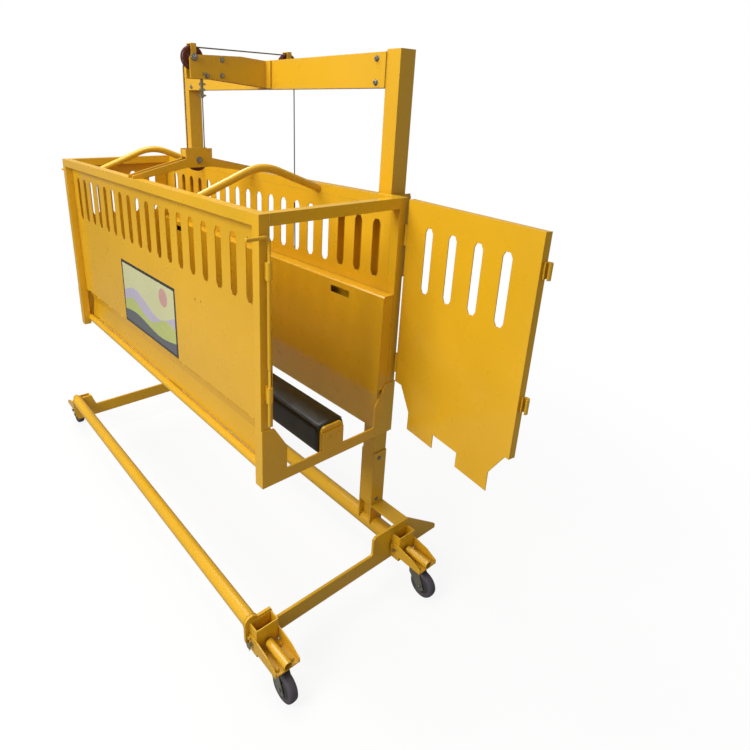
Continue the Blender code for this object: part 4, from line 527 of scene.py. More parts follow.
def fastener_tree():
    """Sets a template on points, aimed by each point's own direction and sized by its own size."""
    tree, source, result = start_node_tree("Fasteners on points", (
        ("Template", "NodeSocketObject", None), ("Material", "NodeSocketMaterial", None),
        ("Seed", "NodeSocketInt", 1)))
    link = tree.links.new
    template = new_node(tree, "GeometryNodeObjectInfo")
    link(source.outputs["Template"], template.inputs["Object"])
    aim = new_node(tree, "GeometryNodeInputNamedAttribute", {"Name": "aim"}, data_type="FLOAT_VECTOR")
    size = new_node(tree, "GeometryNodeInputNamedAttribute", {"Name": "size"}, data_type="FLOAT")
    align = new_node(tree, "FunctionNodeAlignRotationToVector", axis="Z")
    link(aim.outputs["Attribute"], align.inputs["Vector"])
    turn = new_node(tree, "FunctionNodeRandomValue", data_type="FLOAT")
    turn.inputs[3].default_value = math.pi / 3
    link(source.outputs["Seed"], turn.inputs["Seed"])
    spin = new_node(tree, "FunctionNodeAxisAngleToRotation")
    spin.inputs["Axis"].default_value = (0.0, 0.0, 1.0)
    link(turn.outputs[1], spin.inputs["Angle"])
    both = new_node(tree, "FunctionNodeRotateRotation", rotation_space="LOCAL")
    link(align.outputs["Rotation"], both.inputs["Rotation"])
    link(spin.outputs["Rotation"], both.inputs["Rotate By"])
    put = tree.nodes.new("GeometryNodeInstanceOnPoints")
    link(source.outputs["Geometry"], put.inputs["Points"])
    link(template.outputs["Geometry"], put.inputs["Instance"])
    link(both.outputs["Rotation"], put.inputs["Rotation"])
    link(size.outputs["Attribute"], put.inputs["Scale"])
    finish_tree(tree, source, result, put.outputs["Instances"])
    return tree


def bead_tree():
    """Runs small rounded beads along lines, as weld ripples or as stitches."""
    tree, source, result = start_node_tree("Beads along lines", (
        ("Pitch", "NodeSocketFloat", 0.003), ("Length", "NodeSocketFloat", 0.004),
        ("Width", "NodeSocketFloat", 0.004), ("Wobble", "NodeSocketFloat", 0.2),
        ("Material", "NodeSocketMaterial", None), ("Seed", "NodeSocketInt", 1)))
    link = tree.links.new
    curve = tree.nodes.new("GeometryNodeMeshToCurve")
    link(source.outputs["Geometry"], curve.inputs["Mesh"])
    spaced = new_node(tree, "GeometryNodeCurveToPoints", mode="LENGTH")
    link(curve.outputs["Curve"], spaced.inputs["Curve"])
    link(source.outputs["Pitch"], spaced.inputs["Length"])
    ball = new_node(tree, "GeometryNodeMeshIcoSphere", {"Radius": 0.5, "Subdivisions": 2})
    shape = tree.nodes.new("ShaderNodeCombineXYZ")
    low = math_node(tree, "SUBTRACT", 1.0, source.outputs["Wobble"])
    high = math_node(tree, "ADD", 1.0, source.outputs["Wobble"])
    vary = new_node(tree, "FunctionNodeRandomValue", data_type="FLOAT")
    link(low, vary.inputs[2])
    link(high, vary.inputs[3])
    link(source.outputs["Seed"], vary.inputs["Seed"])
    width = product(tree, source.outputs["Width"], vary.outputs[1])
    link(width, shape.inputs[0])
    link(width, shape.inputs[1])
    link(source.outputs["Length"], shape.inputs[2])
    put = tree.nodes.new("GeometryNodeInstanceOnPoints")
    link(spaced.outputs["Points"], put.inputs["Points"])
    link(ball.outputs["Mesh"], put.inputs["Instance"])
    link(spaced.outputs["Rotation"], put.inputs["Rotation"])
    link(shape.outputs[0], put.inputs["Scale"])
    finish_tree(tree, source, result, put.outputs["Instances"])
    return tree


def run_tree(name, tree, mesh, settings, body, finish, smooth_deg=38.0):
    """Evaluates a geometry node tree on a mesh and keeps the result as a plain piece."""
    carrier = add_object(name + "_source", mesh)
    modifier = carrier.modifiers.new("nodes", "NODES")
    modifier.node_group = tree
    settings = dict(settings, Material=FINISHES[finish])
    for socket in tree.interface.items_tree:
        if socket.in_out == "INPUT" and socket.name in settings:
            modifier[socket.identifier] = settings[socket.name]
    depsgraph = bpy.context.evaluated_depsgraph_get()
    made = bpy.data.meshes.new_from_object(carrier.evaluated_get(depsgraph))
    carrier.modifiers.remove(modifier)
    bpy.data.objects.remove(carrier)
    if not made.polygons:
        raise RuntimeError(name + " came out empty")
    made.name = name
    made.materials.clear()
    return add_mesh(name, made, body, [finish], smooth_deg)


def line_mesh(name, lines):
    """A mesh of open polylines, for beads."""
    points = []
    edges = []
    for line in lines:
        first = len(points)
        points += [tuple(p) for p in line]
        edges += [(first + i, first + i + 1) for i in range(len(line) - 1)]
    mesh = bpy.data.meshes.new(name)
    mesh.from_pydata(points, edges, [])
    return mesh


def point_mesh(name, rows):
    """Points with an aim and a size each."""
    mesh = bpy.data.meshes.new(name)
    mesh.from_pydata([tuple(row[0]) for row in rows], [], [])
    mesh.attributes.new("aim", "FLOAT_VECTOR", "POINT")
    mesh.attributes.new("size", "FLOAT", "POINT")
    for i, row in enumerate(rows):
        mesh.attributes["aim"].data[i].vector = row[1]
        mesh.attributes["size"].data[i].value = row[2]
    return mesh


def hex_template(name, shank):
    """A hex head on a washer, one unit from centre to corner, seated on Z = 0."""
    bm = bmesh.new()
    washer = ((0.0, 0.0), (1.28, 0.0), (1.32, 0.04), (1.28, 0.14), (1.05, 0.16), (0.0, 0.16))
    lathe(bm, washer, (0, 0, 0), (0, 0, 1), 28)
    rings = [[bm.verts.new((*on_circle(radius, i, 6), z)) for i in range(6)]
             for z, radius in ((0.14, 1.0), (0.74, 1.0), (0.84, 0.86))]
    skin_rings(bm, rings)
    bm.faces.new(rings[-1])
    bm.faces.new(list(reversed(rings[0])))
    if shank:
        thread = ((0.0, 0.80), (0.52, 0.80), (0.52, 1.20), (0.44, 1.28), (0.0, 1.28))
        lathe(bm, thread, (0, 0, 0), (0, 0, 1), 20)
    bmesh.ops.recalc_face_normals(bm, faces=bm.faces)
    return bpy.data.objects.new(name, mesh_of(name, bm))


# --- operators ------------------------------------------------------------------------------

class LooksOperator:
    bl_options = {"REGISTER", "UNDO"}


class TRIM_OT_finishes(LooksOperator, bpy.types.Operator):
    """Makes the finishes and gives each frame node its own"""
    bl_idname = "trim.finishes"
    bl_label = "Finishes"

    def execute(self, context):
        paint = context.scene.trim_paint
        enamel, bare, soil_and_shade = (tuple(c) for c in (paint.enamel, paint.bare_steel, paint.soil_and_shade))
        group = surface_wear_group()
        edge = paint.edge_radius
        worn_finish("enamel", group, enamel, bare, soil_and_shade, paint.wear, 0.55, 0.30, coat=0.35, edge=edge)
        worn_finish("weld", group, tuple(c * 0.92 for c in enamel), bare, soil_and_shade, 0.2, 0.5, 0.36, coat=0.2,
                    skin=(160.0, 0.2), edge=0.0005)
        for name, colour, worn, dirt, wear, soiled_and_shaded, roughness, more in HARD_FINISHES:
            worn_finish(name, group, colour, worn, dirt, wear, soiled_and_shaded, roughness, **{"edge": edge, **more})
        rope_finish(group)
        vinyl_finish(vinyl_grain_group())
        for name, colour in PRINT_COLOURS:
            worn_finish(name, group, colour, (0.4, 0.4, 0.36), (0.12, 0.09, 0.04), 0.15, 0.2, 0.22, coat=0.5,
                        skin=(90.0, 0.03), edge=0.0004)
        for row in frame["record"]["subparts"]:
            name = row["node"]
            carriage = name.startswith("guide_carriage")
            finish = "enamel" if carriage else FINISH_OF_SLOT[row["material_slot"]]
            for spot in frame["nodes"][name].material_slots:
                spot.material = FINISHES[finish]
        return {"FINISHED"}


class TRIM_OT_belly_cushion(LooksOperator, bpy.types.Operator):
    """Makes the vinyl-covered belly cushion with its seams and stitches"""
    bl_idname = "trim.belly_cushion"
    bl_label = "Belly cushion"

    END_GAP = 0.0125
    SKIRT_BOTTOM = 0.036
    SHOULDER = 0.026
    CROWN_RISE = 0.006
    BEAM_HALF = 0.0566
    BEAM_TOP = 0.1466
    BEAM_CORNER = 0.02
    CREASED_FROM = 0.045
    STATIONS = 260

    def section(self, half, crown):
        """The cushion's outline from its right skirt over the crown to the left, then back inside."""
        right = [(half - 0.006, self.SKIRT_BOTTOM), (half - 0.0025, 0.050), (half - 0.001, 0.066),
                 (half - 0.0002, 0.086), (half, 0.106)]
        flat = half - self.SHOULDER
        for i in range(9):
            angle = math.radians(80 * i / 8)
            right.append((flat + self.SHOULDER * math.cos(angle),
                          crown - self.CROWN_RISE - self.SHOULDER + self.SHOULDER * math.sin(angle)))
        right += [(flat * k, crown - self.CROWN_RISE * k * k) for k in (0.75, 0.5, 0.25)]
        outer = right + [(0.0, crown)] + [(-x, z) for x, z in reversed(right)]
        corner = self.BEAM_CORNER
        inner = [(-self.BEAM_HALF, self.SKIRT_BOTTOM), (-self.BEAM_HALF, self.BEAM_TOP - corner)]
        for i in range(1, 6):
            angle = math.radians(180 - 90 * i / 5)
            inner.append((-self.BEAM_HALF + corner + corner * math.cos(angle),
                          self.BEAM_TOP - corner + corner * math.sin(angle)))
        inner += [(-x, z) for x, z in reversed(inner)]
        return outer, inner

    def crease(self, x, y, z, depth):
        """How far the vinyl stands in or out at a point of the section."""
        ripple = noise.noise(Vector((x * 16, y * 5.5, z * 16)))
        gather = math.sin(y * 46 + 3 * noise.noise(Vector((y * 2.1, 0, 3))))
        gather *= noise.noise(Vector((y * 3, x * 9, 7)))
        push = depth * (0.7 * ripple + 0.6 * gather) - depth * 0.9
        return push * max(0.0, min(1.0, (z - self.CREASED_FROM) / 0.04))

    def execute(self, context):
        wish = context.scene.trim_cushion
        first, last = self.END_GAP, CRATE_LENGTH - self.END_GAP
        bm = bmesh.new()
        rings = []
        for i in range(self.STATIONS + 1):
            y = first + (last - first) * i / self.STATIONS
            edge = min(y - first, last - y)
            pull = 0.0045 * max(0.0, 1 - edge / 0.016) ** 2
            outer, inner = self.section(wish.half_width - pull, wish.crown - pull)
            ring = []
            for x, z in outer:
                push = self.crease(x, y, z, wish.creases)
                above = max(z - 0.09, 0.0)
                length = math.hypot(x, max(above, 0.001))
                ring.append(bm.verts.new((MID_X + x + push * x / length, y,
                                          CRATE_BOTTOM + z + push * above / length)))
            ring += [bm.verts.new((MID_X + x, y, CRATE_BOTTOM + z)) for x, z in inner]
            rings.append(ring)
        skin_rings(bm, rings)
        bm.faces.new(list(reversed(rings[0])))
        bm.faces.new(rings[-1])
        cushion = add_piece("belly_cushion", bm, "crate", ["vinyl"], 60.0)
        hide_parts("belly_pad")
        self.add_seams(wish, first, last)
        return {"FINISHED"}

    def add_seams(self, wish, first, last):
        bm = bmesh.new()
        stitch_lines = []
        for side in (-1, 1):
            line = []
            for i in range(121):
                y = first + 0.006 + (last - first - 0.012) * i / 120
                line.append((MID_X + side * (wish.half_width - 0.0075), y,
                             CRATE_BOTTOM + wish.crown - 0.0138))
            wire(bm, line, 0.0017, 8)
            stitch_lines.append([(x - side * 0.008, y, z + 0.0052) for x, y, z in line])
        add_piece("cushion_piping", bm, "crate", ["vinyl"])
        run_tree("cushion_stitches", bead_tree(), line_mesh("stitch_lines", stitch_lines),
                 {"Pitch": wish.stitch_pitch, "Length": 0.0036, "Width": 0.0009, "Wobble": 0.0, "Seed": 3},
                 "crate", "thread")


def wheel_out(face, outward, distance):
    return face + outward * distance


class TRIM_OT_casters(LooksOperator, bpy.types.Operator):
    """Makes the wheels with tread, hub and axle nuts, and the swivel races"""
    bl_idname = "trim.casters"
    bl_label = "Casters"

    WHEEL_OUT = 0.165
    WHEEL_Z = 0.0625
    RACE_OUT = 0.122
    RACE_Z = 0.1412
    NUT_INSIDE = 0.0266
    NUT_OUTSIDE = 0.0313
    RUBBER, HUB, STEEL = range(3)

    def execute(self, context):
        for corner, x, face, outward in WHEELS:
            centre = (x, wheel_out(face, outward, self.WHEEL_OUT), self.WHEEL_Z)
            bm = bmesh.new()
            hub = [(0.0200, 0.0180), (0.0225, 0.0199), (0.0270, 0.0197), (0.0325, 0.0160), (0.0400, 0.0160)]
            tread = [(0.0418, 0.0185), (0.0470, 0.0199), (0.0540, 0.0194), (0.0585, 0.0165), (0.0606, 0.0110),
                     (0.0615, 0.0040)]
            half = [(*row, self.HUB) for row in hub] + [(*row, self.RUBBER) for row in tread]
            lathe(bm, mirrored(half) + [(0.0052, -0.0180, self.HUB), (0.0052, 0.0180, self.HUB)], centre,
                  (1, 0, 0))
            axle = mirrored([(0.0, -0.0348, self.STEEL), (0.0045, -0.0348, self.STEEL),
                             (0.0050, -0.0340, self.STEEL)])
            lathe(bm, axle, centre, (1, 0, 0), 24)
            for side in (-1, 1):
                self.nut(bm, Vector(centre), side)
            wheel = add_piece("caster_wheel_fitted_" + corner, bm, "wheel_" + corner,
                              ["tyre", "hub", "bolt steel"])
            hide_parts("caster_wheel_" + corner)
            bm = bmesh.new()
            lathe(bm, [(0.0245, 0.0), (0.0300, 0.0), (0.0325, 0.0025), (0.0325, 0.0075), (0.0300, 0.0100),
                       (0.0245, 0.0100)],
                  (x, wheel_out(face, outward, self.RACE_OUT), self.RACE_Z), (0, 0, 1), 48)
            add_piece("swivel_race_" + corner, bm, "fork_" + corner, ["black ring"])
        return {"FINISHED"}

    def nut(self, bm, centre, side):
        rings = []
        for along, radius in ((self.NUT_INSIDE, 0.0085), (self.NUT_OUTSIDE - 0.0008, 0.0085),
                              (self.NUT_OUTSIDE, 0.0074)):
            rings.append([bm.verts.new(centre + Vector((side * along, *on_circle(radius, i, 6))))
                          for i in range(6)])
        made = len(bm.faces)
        bm.faces.new(rings[0])
        skin_rings(bm, rings)
        bm.faces.new(rings[-1])
        bm.faces.ensure_lookup_table()
        for face in bm.faces[made:]:
            face.material_index = self.STEEL


class TRIM_OT_sheaves(LooksOperator, bpy.types.Operator):
    """Makes the three rope sheaves with smooth grooves and bosses"""
    bl_idname = "trim.sheaves"
    bl_label = "Sheaves"

    def execute(self, context):
        for name, x, z in (("tip_sheave", SHEAVE_X, TIP_SHEAVE_Z),
                           ("root_sheave", ROOT_SHEAVE_X, TIP_SHEAVE_Z),
                           ("crate_sheave", SHEAVE_X, CRATE_SHEAVE_Z)):
            bm = bmesh.new()
            half = [(0.0086, 0.0118), (0.0180, 0.0118), (0.0195, 0.0090), (0.0350, 0.0080), (0.0380, 0.0110),
                    (0.0490, 0.0118), (0.0500, 0.0106), (0.0494, 0.0088), (0.0420, 0.0048), (0.0402, 0.0030),
                    (0.0397, 0.0010)]
            lathe(bm, mirrored(half), (x, MID_Y, z), (0, 1, 0), 64)
            piece = add_piece(name + "_turned", bm, name, ["maroon"])
            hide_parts(name)
        return {"FINISHED"}


class TRIM_OT_fasteners(LooksOperator, bpy.types.Operator):
    """Sets the bolts and nuts on the arm, beam, feet, wheel brackets and crate"""
    bl_idname = "trim.fasteners"
    bl_label = "Fasteners"

    ARM_BOLTS = ((0.460, 2.299), (0.458, 2.233), (0.382, 2.229))
    ARM_HALF = 0.024
    BEAM_FACE = 0.705
    BEAM_BOLT_IN = 0.245
    BEAM_BOLTS_Z = (2.289, 2.204)
    FOOT_X = 0.744
    FOOT_FACE = 0.1217
    FOOT_BOLTS_Z = (0.550, 0.315)
    WINCH_FACE = 0.7963
    WINCH_BOLT_HALF = 0.062
    WINCH_BOLTS_Z = (0.742, 0.768)
    BRACKET_BOLT_HALF = 0.034
    BRACKET_BOLTS_OUT = (0.084, 0.160)
    BRACKET_TOP = 0.164
    BEAM_END_BOLTS = ((0.315, 0.900), (0.359, 0.899))
    PANEL_SCREWS = ((1.521, 1.374), (0.531, 1.373), (0.480, 1.379))
    PIN_HEAD = 0.0255
    BRIDGE_HALF = 0.028

    def machine_rows(self, size):
        rows = []
        for x, z in self.ARM_BOLTS:
            for aim in (-1, 1):
                rows.append(((x, MID_Y + aim * self.ARM_HALF, z), (0, aim, 0), size))
        for y in (self.BEAM_BOLT_IN, CRATE_LENGTH - self.BEAM_BOLT_IN):
            for z in self.BEAM_BOLTS_Z:
                rows.append(((self.BEAM_FACE, y, z), (-1, 0, 0), size))
        for face, aim in ((self.FOOT_FACE, -1), (CRATE_LENGTH - self.FOOT_FACE, 1)):
            for z in self.FOOT_BOLTS_Z:
                rows.append(((self.FOOT_X, face, z), (0, aim, 0), size * 0.85))
        for side in (-1, 1):
            for z in self.WINCH_BOLTS_Z:
                spot = (self.WINCH_FACE, MID_Y + side * self.WINCH_BOLT_HALF, z)
                rows.append((spot, (1, 0, 0), size * 0.7))
        return rows

    def bracket_rows(self, size):
        rows = []
        for _, x, face, outward in WHEELS:
            for side in (-1, 1):
                for distance in self.BRACKET_BOLTS_OUT:
                    spot = (x + side * self.BRACKET_BOLT_HALF, wheel_out(face, outward, distance),
                            self.BRACKET_TOP)
                    rows.append((spot, (0, 0, 1), size * 0.82))
        return rows

    def crate_rows(self, size):
        rows = []
        for x, z in self.BEAM_END_BOLTS:
            rows.append(((x, -0.006, z), (0, -1, 0), size * 0.72))
            rows.append(((x, CRATE_LENGTH + 0.006, z), (0, 1, 0), size * 0.72))
        for y, z in self.PANEL_SCREWS:
            rows.append(((PANEL_FACE, y, z), (-1, 0, 0), size * 0.5))
        return rows

    def execute(self, context):
        wish = context.scene.trim_fittings
        tree = fastener_tree()
        head = hex_template("hex_head", shank=False)
        nut = hex_template("hex_nut", shank=True)
        size = wish.bolt_size
        pins = []
        for x, z in ((SHEAVE_X, TIP_SHEAVE_Z), (ROOT_SHEAVE_X, TIP_SHEAVE_Z)):
            for aim in (-1, 1):
                pins.append(((x, MID_Y + aim * self.PIN_HEAD, z), (0, aim, 0), size * 1.35))
        crate_pins = [((SHEAVE_X, MID_Y + aim * self.BRIDGE_HALF, CRATE_SHEAVE_Z), (0, aim, 0), size * 1.35)
                      for aim in (-1, 1)]
        for name, rows, template, body, slot, finish in (
                ("frame_bolts", self.machine_rows(size), head, "machine", "zinc", "bolt steel"),
                ("bracket_bolts", self.bracket_rows(size), nut, "machine", "yellow_paint", "enamel"),
                ("crate_bolts", self.crate_rows(size), head, "crate", "yellow_paint", "enamel"),
                ("sheave_nuts", pins, nut, "machine", "zinc", "bolt steel"),
                ("bridge_nuts", crate_pins, nut, "crate", "zinc", "bolt steel")):
            run_tree(name, tree, point_mesh(name, rows), {"Template": template, "Seed": wish.seed}, body,
                     finish, 30.0)
        for template in (head, nut):
            bpy.data.objects.remove(template)
        return {"FINISHED"}


class TRIM_OT_welds(LooksOperator, bpy.types.Operator):
    """Runs the weld beads at the joints and the tacks along the panel's fold"""
    bl_idname = "trim.welds"
    bl_label = "Welds"

    ARM_ROOT_X = 0.6960
    ARM_ROOT_HALF = 0.0245
    ARM_ROOT_Z = (2.194, 2.306)
    # X, Z and radius of the seam round each base tube
    TUBE_SEAMS = ((-0.084, 0.252, 0.0302), (0.750, 0.161, 0.0405))
    PLATE_DEPTH = 0.0135
    BRACKET_SEAM_HALF = 0.0505
    BRACKET_SEAM_Z = (0.166, 0.200)
    LEVER_SEAM_HALF = 0.0150
    LEVER_SEAM_OUT = (0.064, 0.174)
    LEVER_SEAM_Z = 0.1656
    POST_SEAMS_X = (0.0405, 0.6265)
    POST_SEAM_Z = (1.762, 1.798)
    ARCH_SEAMS_X = (0.0412, 0.6258)
    ARCHES_Y = (0.485, 1.535)
    ARCH_Z = 1.779
    BRIDGE_SEAM_Z = 1.8008
    TACK_Z = 1.0275
    FIRST_TACK = 0.118
    TACK_PITCH = 0.183

    def circle(self, x, z, radius, y):
        spots = [on_circle(radius, i, 40) for i in range(41)]
        return [(x + across, y, z + up) for across, up in spots]

    def machine_lines(self):
        lines = []
        for y in (MID_Y - self.ARM_ROOT_HALF, MID_Y + self.ARM_ROOT_HALF):
            lines.append([(self.ARM_ROOT_X, y, z) for z in self.ARM_ROOT_Z])
        for x, z, radius in self.TUBE_SEAMS:
            for y in (FRONT_FACE + self.PLATE_DEPTH, REAR_FACE - self.PLATE_DEPTH):
                lines.append(self.circle(x, z, radius, y))
        for _, x, face, outward in WHEELS:
            for side in (-1, 1):
                lines.append([(x + side * self.BRACKET_SEAM_HALF, face + outward * 0.0008, z)
                              for z in self.BRACKET_SEAM_Z])
                lines.append([(x + side * self.LEVER_SEAM_HALF, wheel_out(face, outward, distance),
                               self.LEVER_SEAM_Z) for distance in self.LEVER_SEAM_OUT])
        return lines

    def crate_lines(self):
        lines = []
        for x in self.POST_SEAMS_X:
            for y in (0.0005, CRATE_LENGTH - 0.0005):
                lines.append([(x, y, z) for z in self.POST_SEAM_Z])
        for x in self.ARCH_SEAMS_X:
            for y in self.ARCHES_Y:
                spots = [on_circle(1.0, i, 24) for i in range(25)]
                lines.append([(x, y + 0.0165 * along, self.ARCH_Z + 0.0172 * up) for along, up in spots])
        for side in (-0.0205, 0.0205):
            for ends in ((0.030, 0.075), (0.592, 0.637)):
                lines.append([(x, MID_Y + side, self.BRIDGE_SEAM_Z) for x in ends])
        for k in range(11):
            y = self.FIRST_TACK + self.TACK_PITCH * k
            lines.append([(PANEL_FACE - 0.0008, y + end, self.TACK_Z) for end in (-0.011, 0.011)])
        return lines

    def execute(self, context):
        wish = context.scene.trim_fittings
        tree = bead_tree()
        for name, lines, body in (("machine_welds", self.machine_lines(), "machine"),
                                  ("crate_welds", self.crate_lines(), "crate")):
            run_tree(name, tree, line_mesh(name, lines),
                     {"Pitch": wish.weld_width * 0.42, "Length": wish.weld_width * 0.75,
                      "Width": wish.weld_width * 0.8, "Wobble": 0.14, "Seed": wish.seed},
                     body, "weld", 80.0)
        return {"FINISHED"}


class TRIM_OT_split_pins(LooksOperator, bpy.types.Operator):
    """Bends the wire split pins through the ends of the lock pins"""
    bl_idname = "trim.split_pins"
    bl_label = "Split pins"

    def execute(self, context):
        for corner, x, face, outward in WHEELS:
            toward = -1 if "left" in corner else 1
            end = Vector((x - toward * 0.0635, wheel_out(face, outward, LOCK_PIN_OUT), LOCK_PIN_Z))
            bm = bmesh.new()
            path = [end + Vector((0, outward * 0.013, 0.009)), end + Vector((0, outward * 0.006, 0.004)),
                    end, end + Vector((0, -outward * 0.008, -0.006))]
            loop = [end + Vector((-toward * 0.001, outward * (0.013 + 0.005 * math.sin(math.pi * k / 6)),
                                  0.009 + 0.005 * (1 - math.cos(math.pi * k / 6)))) for k in range(7)]
            wire(bm, list(reversed(loop)) + path[1:], 0.0013, 10)
            spot = Vector((x + toward * 0.0625, wheel_out(face, outward, LOCK_PIN_OUT), LOCK_PIN_Z))
            wire(bm, [spot + Vector((0, outward * 0.012, 0.010)), spot + Vector((0, outward * 0.008, 0.004)),
                      spot, spot + Vector((toward * 0.003, -outward * 0.004, -0.012)),
                      spot + Vector((toward * 0.007, outward * 0.003, -0.025))], 0.0014, 10)
            add_piece("split_pin_" + corner, bm, "lock_pin_" + corner, ["bolt steel"])
        return {"FINISHED"}


class TRIM_OT_rope_falls(LooksOperator, bpy.types.Operator):
    """Makes the rope's two falls as round wires from the top to the bottom of the imported falls, which it
    hides
    """
    bl_idname = "trim.rope_falls"
    bl_label = "Rope falls"

    STATIONS = 48

    def execute(self, context):
        for name in ("rope_live_fall", "rope_dead_fall"):
            low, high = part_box(name)
            middle = (low + high) / 2
            top = Vector((middle.x, middle.y, high.z))
            bottom = Vector((middle.x, middle.y, low.z))
            bm = bmesh.new()
            wire(bm, [top.lerp(bottom, i / self.STATIONS) for i in range(self.STATIONS + 1)],
                 (high.y - low.y) / 2, 12)
            bmesh.ops.recalc_face_normals(bm, faces=bm.faces)
            mesh = mesh_of(name, bm)
            mesh.materials.append(FINISHES["rope"])
            mesh.shade_smooth()
            fall = add_object(name + "_wire", mesh)
            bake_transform(fall)
            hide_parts(name)
        return {"FINISHED"}


class TRIM_OT_rope_fittings(LooksOperator, bpy.types.Operator):
    """Makes the rope clips' U-bolts with their nuts at the rope's dead end"""
    bl_idname = "trim.rope_fittings"
    bl_label = "Rope fittings"

    LOWEST_CLIP = -0.155
    CLIP_PITCH = 0.024
    BOLT_HALF = 0.0052
    LEG_LENGTH = 0.018
    BEND_BACK = 0.004

    def execute(self, context):
        bm = bmesh.new()
        legs_end = DEAD_ROPE_X + self.LEG_LENGTH
        bend = DEAD_ROPE_X - self.BEND_BACK
        nut = ((0.0, 0.0), (0.0036, 0.0), (0.0038, 0.0006), (0.0038, 0.0036), (0.0032, 0.0042), (0.0, 0.0042))
        for k in range(3):
            z = TIP_SHEAVE_Z + self.LOWEST_CLIP + self.CLIP_PITCH * k
            arc = [(bend - self.BOLT_HALF * math.sin(math.pi * i / 8),
                    MID_Y - self.BOLT_HALF * math.cos(math.pi * i / 8), z) for i in range(1, 8)]
            near, far = (MID_Y + side * self.BOLT_HALF for side in (-1, 1))
            wire(bm, [(legs_end, near, z), (bend, near, z), *arc, (bend, far, z), (legs_end, far, z)], 0.0016)
            for y in (near, far):
                lathe(bm, nut, (DEAD_ROPE_X + 0.0104, y, z), (1, 0, 0), 6)
        add_piece("rope_clip_bolts", bm, "machine", ["zinc"], 30.0)
        return {"FINISHED"}


class TRIM_OT_winch_grip(LooksOperator, bpy.types.Operator):
    """Puts a ribbed grip on the winch crank's handle"""
    bl_idname = "trim.winch_grip"
    bl_label = "Winch grip"

    START = (1.1126, MID_Y + 0.1125, 0.975)
    INSIDE = 0.0141
    VALLEY = 0.0144
    RIB = 0.0148
    RIBS = 13

    def execute(self, context):
        rows = [(self.INSIDE, 0.0)]
        for k in range(self.RIBS):
            along = 0.002 + 0.0085 * k
            rows += [(self.VALLEY, along), (self.RIB, along + 0.0020), (self.RIB, along + 0.0045),
                     (self.VALLEY, along + 0.0065)]
        rows += [(self.VALLEY, 0.1098), (self.INSIDE, 0.1100)]
        bm = bmesh.new()
        lathe(bm, rows, self.START, (0, 1, 0), 40)
        add_piece("winch_grip_sleeve", bm, "winch_crank", ["hub"], 60.0)
        return {"FINISHED"}


class TRIM_OT_panel_print(LooksOperator, bpy.types.Operator):
    """Lays a plain generic print of hills and a pale sun on the left side panel"""
    bl_idname = "trim.panel_print"
    bl_label = "Panel print"

    LOW = (0.718, 1.033)
    HIGH = (1.333, 1.364)
    BORDER = 0.014
    SUN = (0.845, 1.288)
    SUN_RADIUS = 0.044
    # Crest, swell, waves, phase, lift off the panel and print colour of each row of hills
    HILLS = ((1.204, 0.036, 2.2, 2.6, 0.0004, 3), (1.153, 0.028, 2.9, 0.4, 0.0005, 2),
             (1.096, 0.017, 2.0, 2.9, 0.0006, 5))

    def layer(self, bm, outline, lift, index):
        """A flat shape a little proud of the panel, with its own edge."""
        rings = []
        for x in (PANEL_FACE - 0.0002, PANEL_FACE - lift - 0.0003):
            rings.append([bm.verts.new((x, y, z)) for y, z in outline])
        count = len(outline)
        for i in range(count):
            j = (i + 1) % count
            face = bm.faces.new((rings[0][i], rings[0][j], rings[1][j], rings[1][i]))
            face.material_index = index
        for ring in (rings[0], list(reversed(rings[1]))):
            face = bm.faces.new(ring)
            face.material_index = index

    def hills(self, low, high, crest, swell, waves, phase):
        steps = 48
        top = []
        for i in range(steps + 1):
            share = i / steps
            y = low[0] + (high[0] - low[0]) * share
            z = crest + swell * math.sin(waves * math.pi * share + phase)
            top.append((y, max(low[1] + 0.004, min(high[1] - 0.004, z))))
        return [(high[0], low[1]), (low[0], low[1])] + top

    def execute(self, context):
        low, high = Vector(self.LOW), Vector(self.HIGH)
        inner_low = low + Vector((self.BORDER, self.BORDER))
        inner_high = high - Vector((self.BORDER, self.BORDER))
        bm = bmesh.new()
        for (y0, z0), (y1, z1), lift, index in ((low, high, 0.0, 0), (inner_low, inner_high, 0.0002, 1)):
            self.layer(bm, [(y0, z0), (y1, z0), (y1, z1), (y0, z1)], lift, index)
        spots = [on_circle(self.SUN_RADIUS, i, 48) for i in range(48)]
        self.layer(bm, [(self.SUN[0] + along, self.SUN[1] + up) for along, up in spots], 0.0003, 4)
        for crest, swell, waves, phase, lift, index in self.HILLS:
            self.layer(bm, self.hills(inner_low, inner_high, crest, swell, waves, phase), lift, index)
        add_piece("panel_print", bm, "crate", [name for name, _ in PRINT_COLOURS])
        return {"FINISHED"}


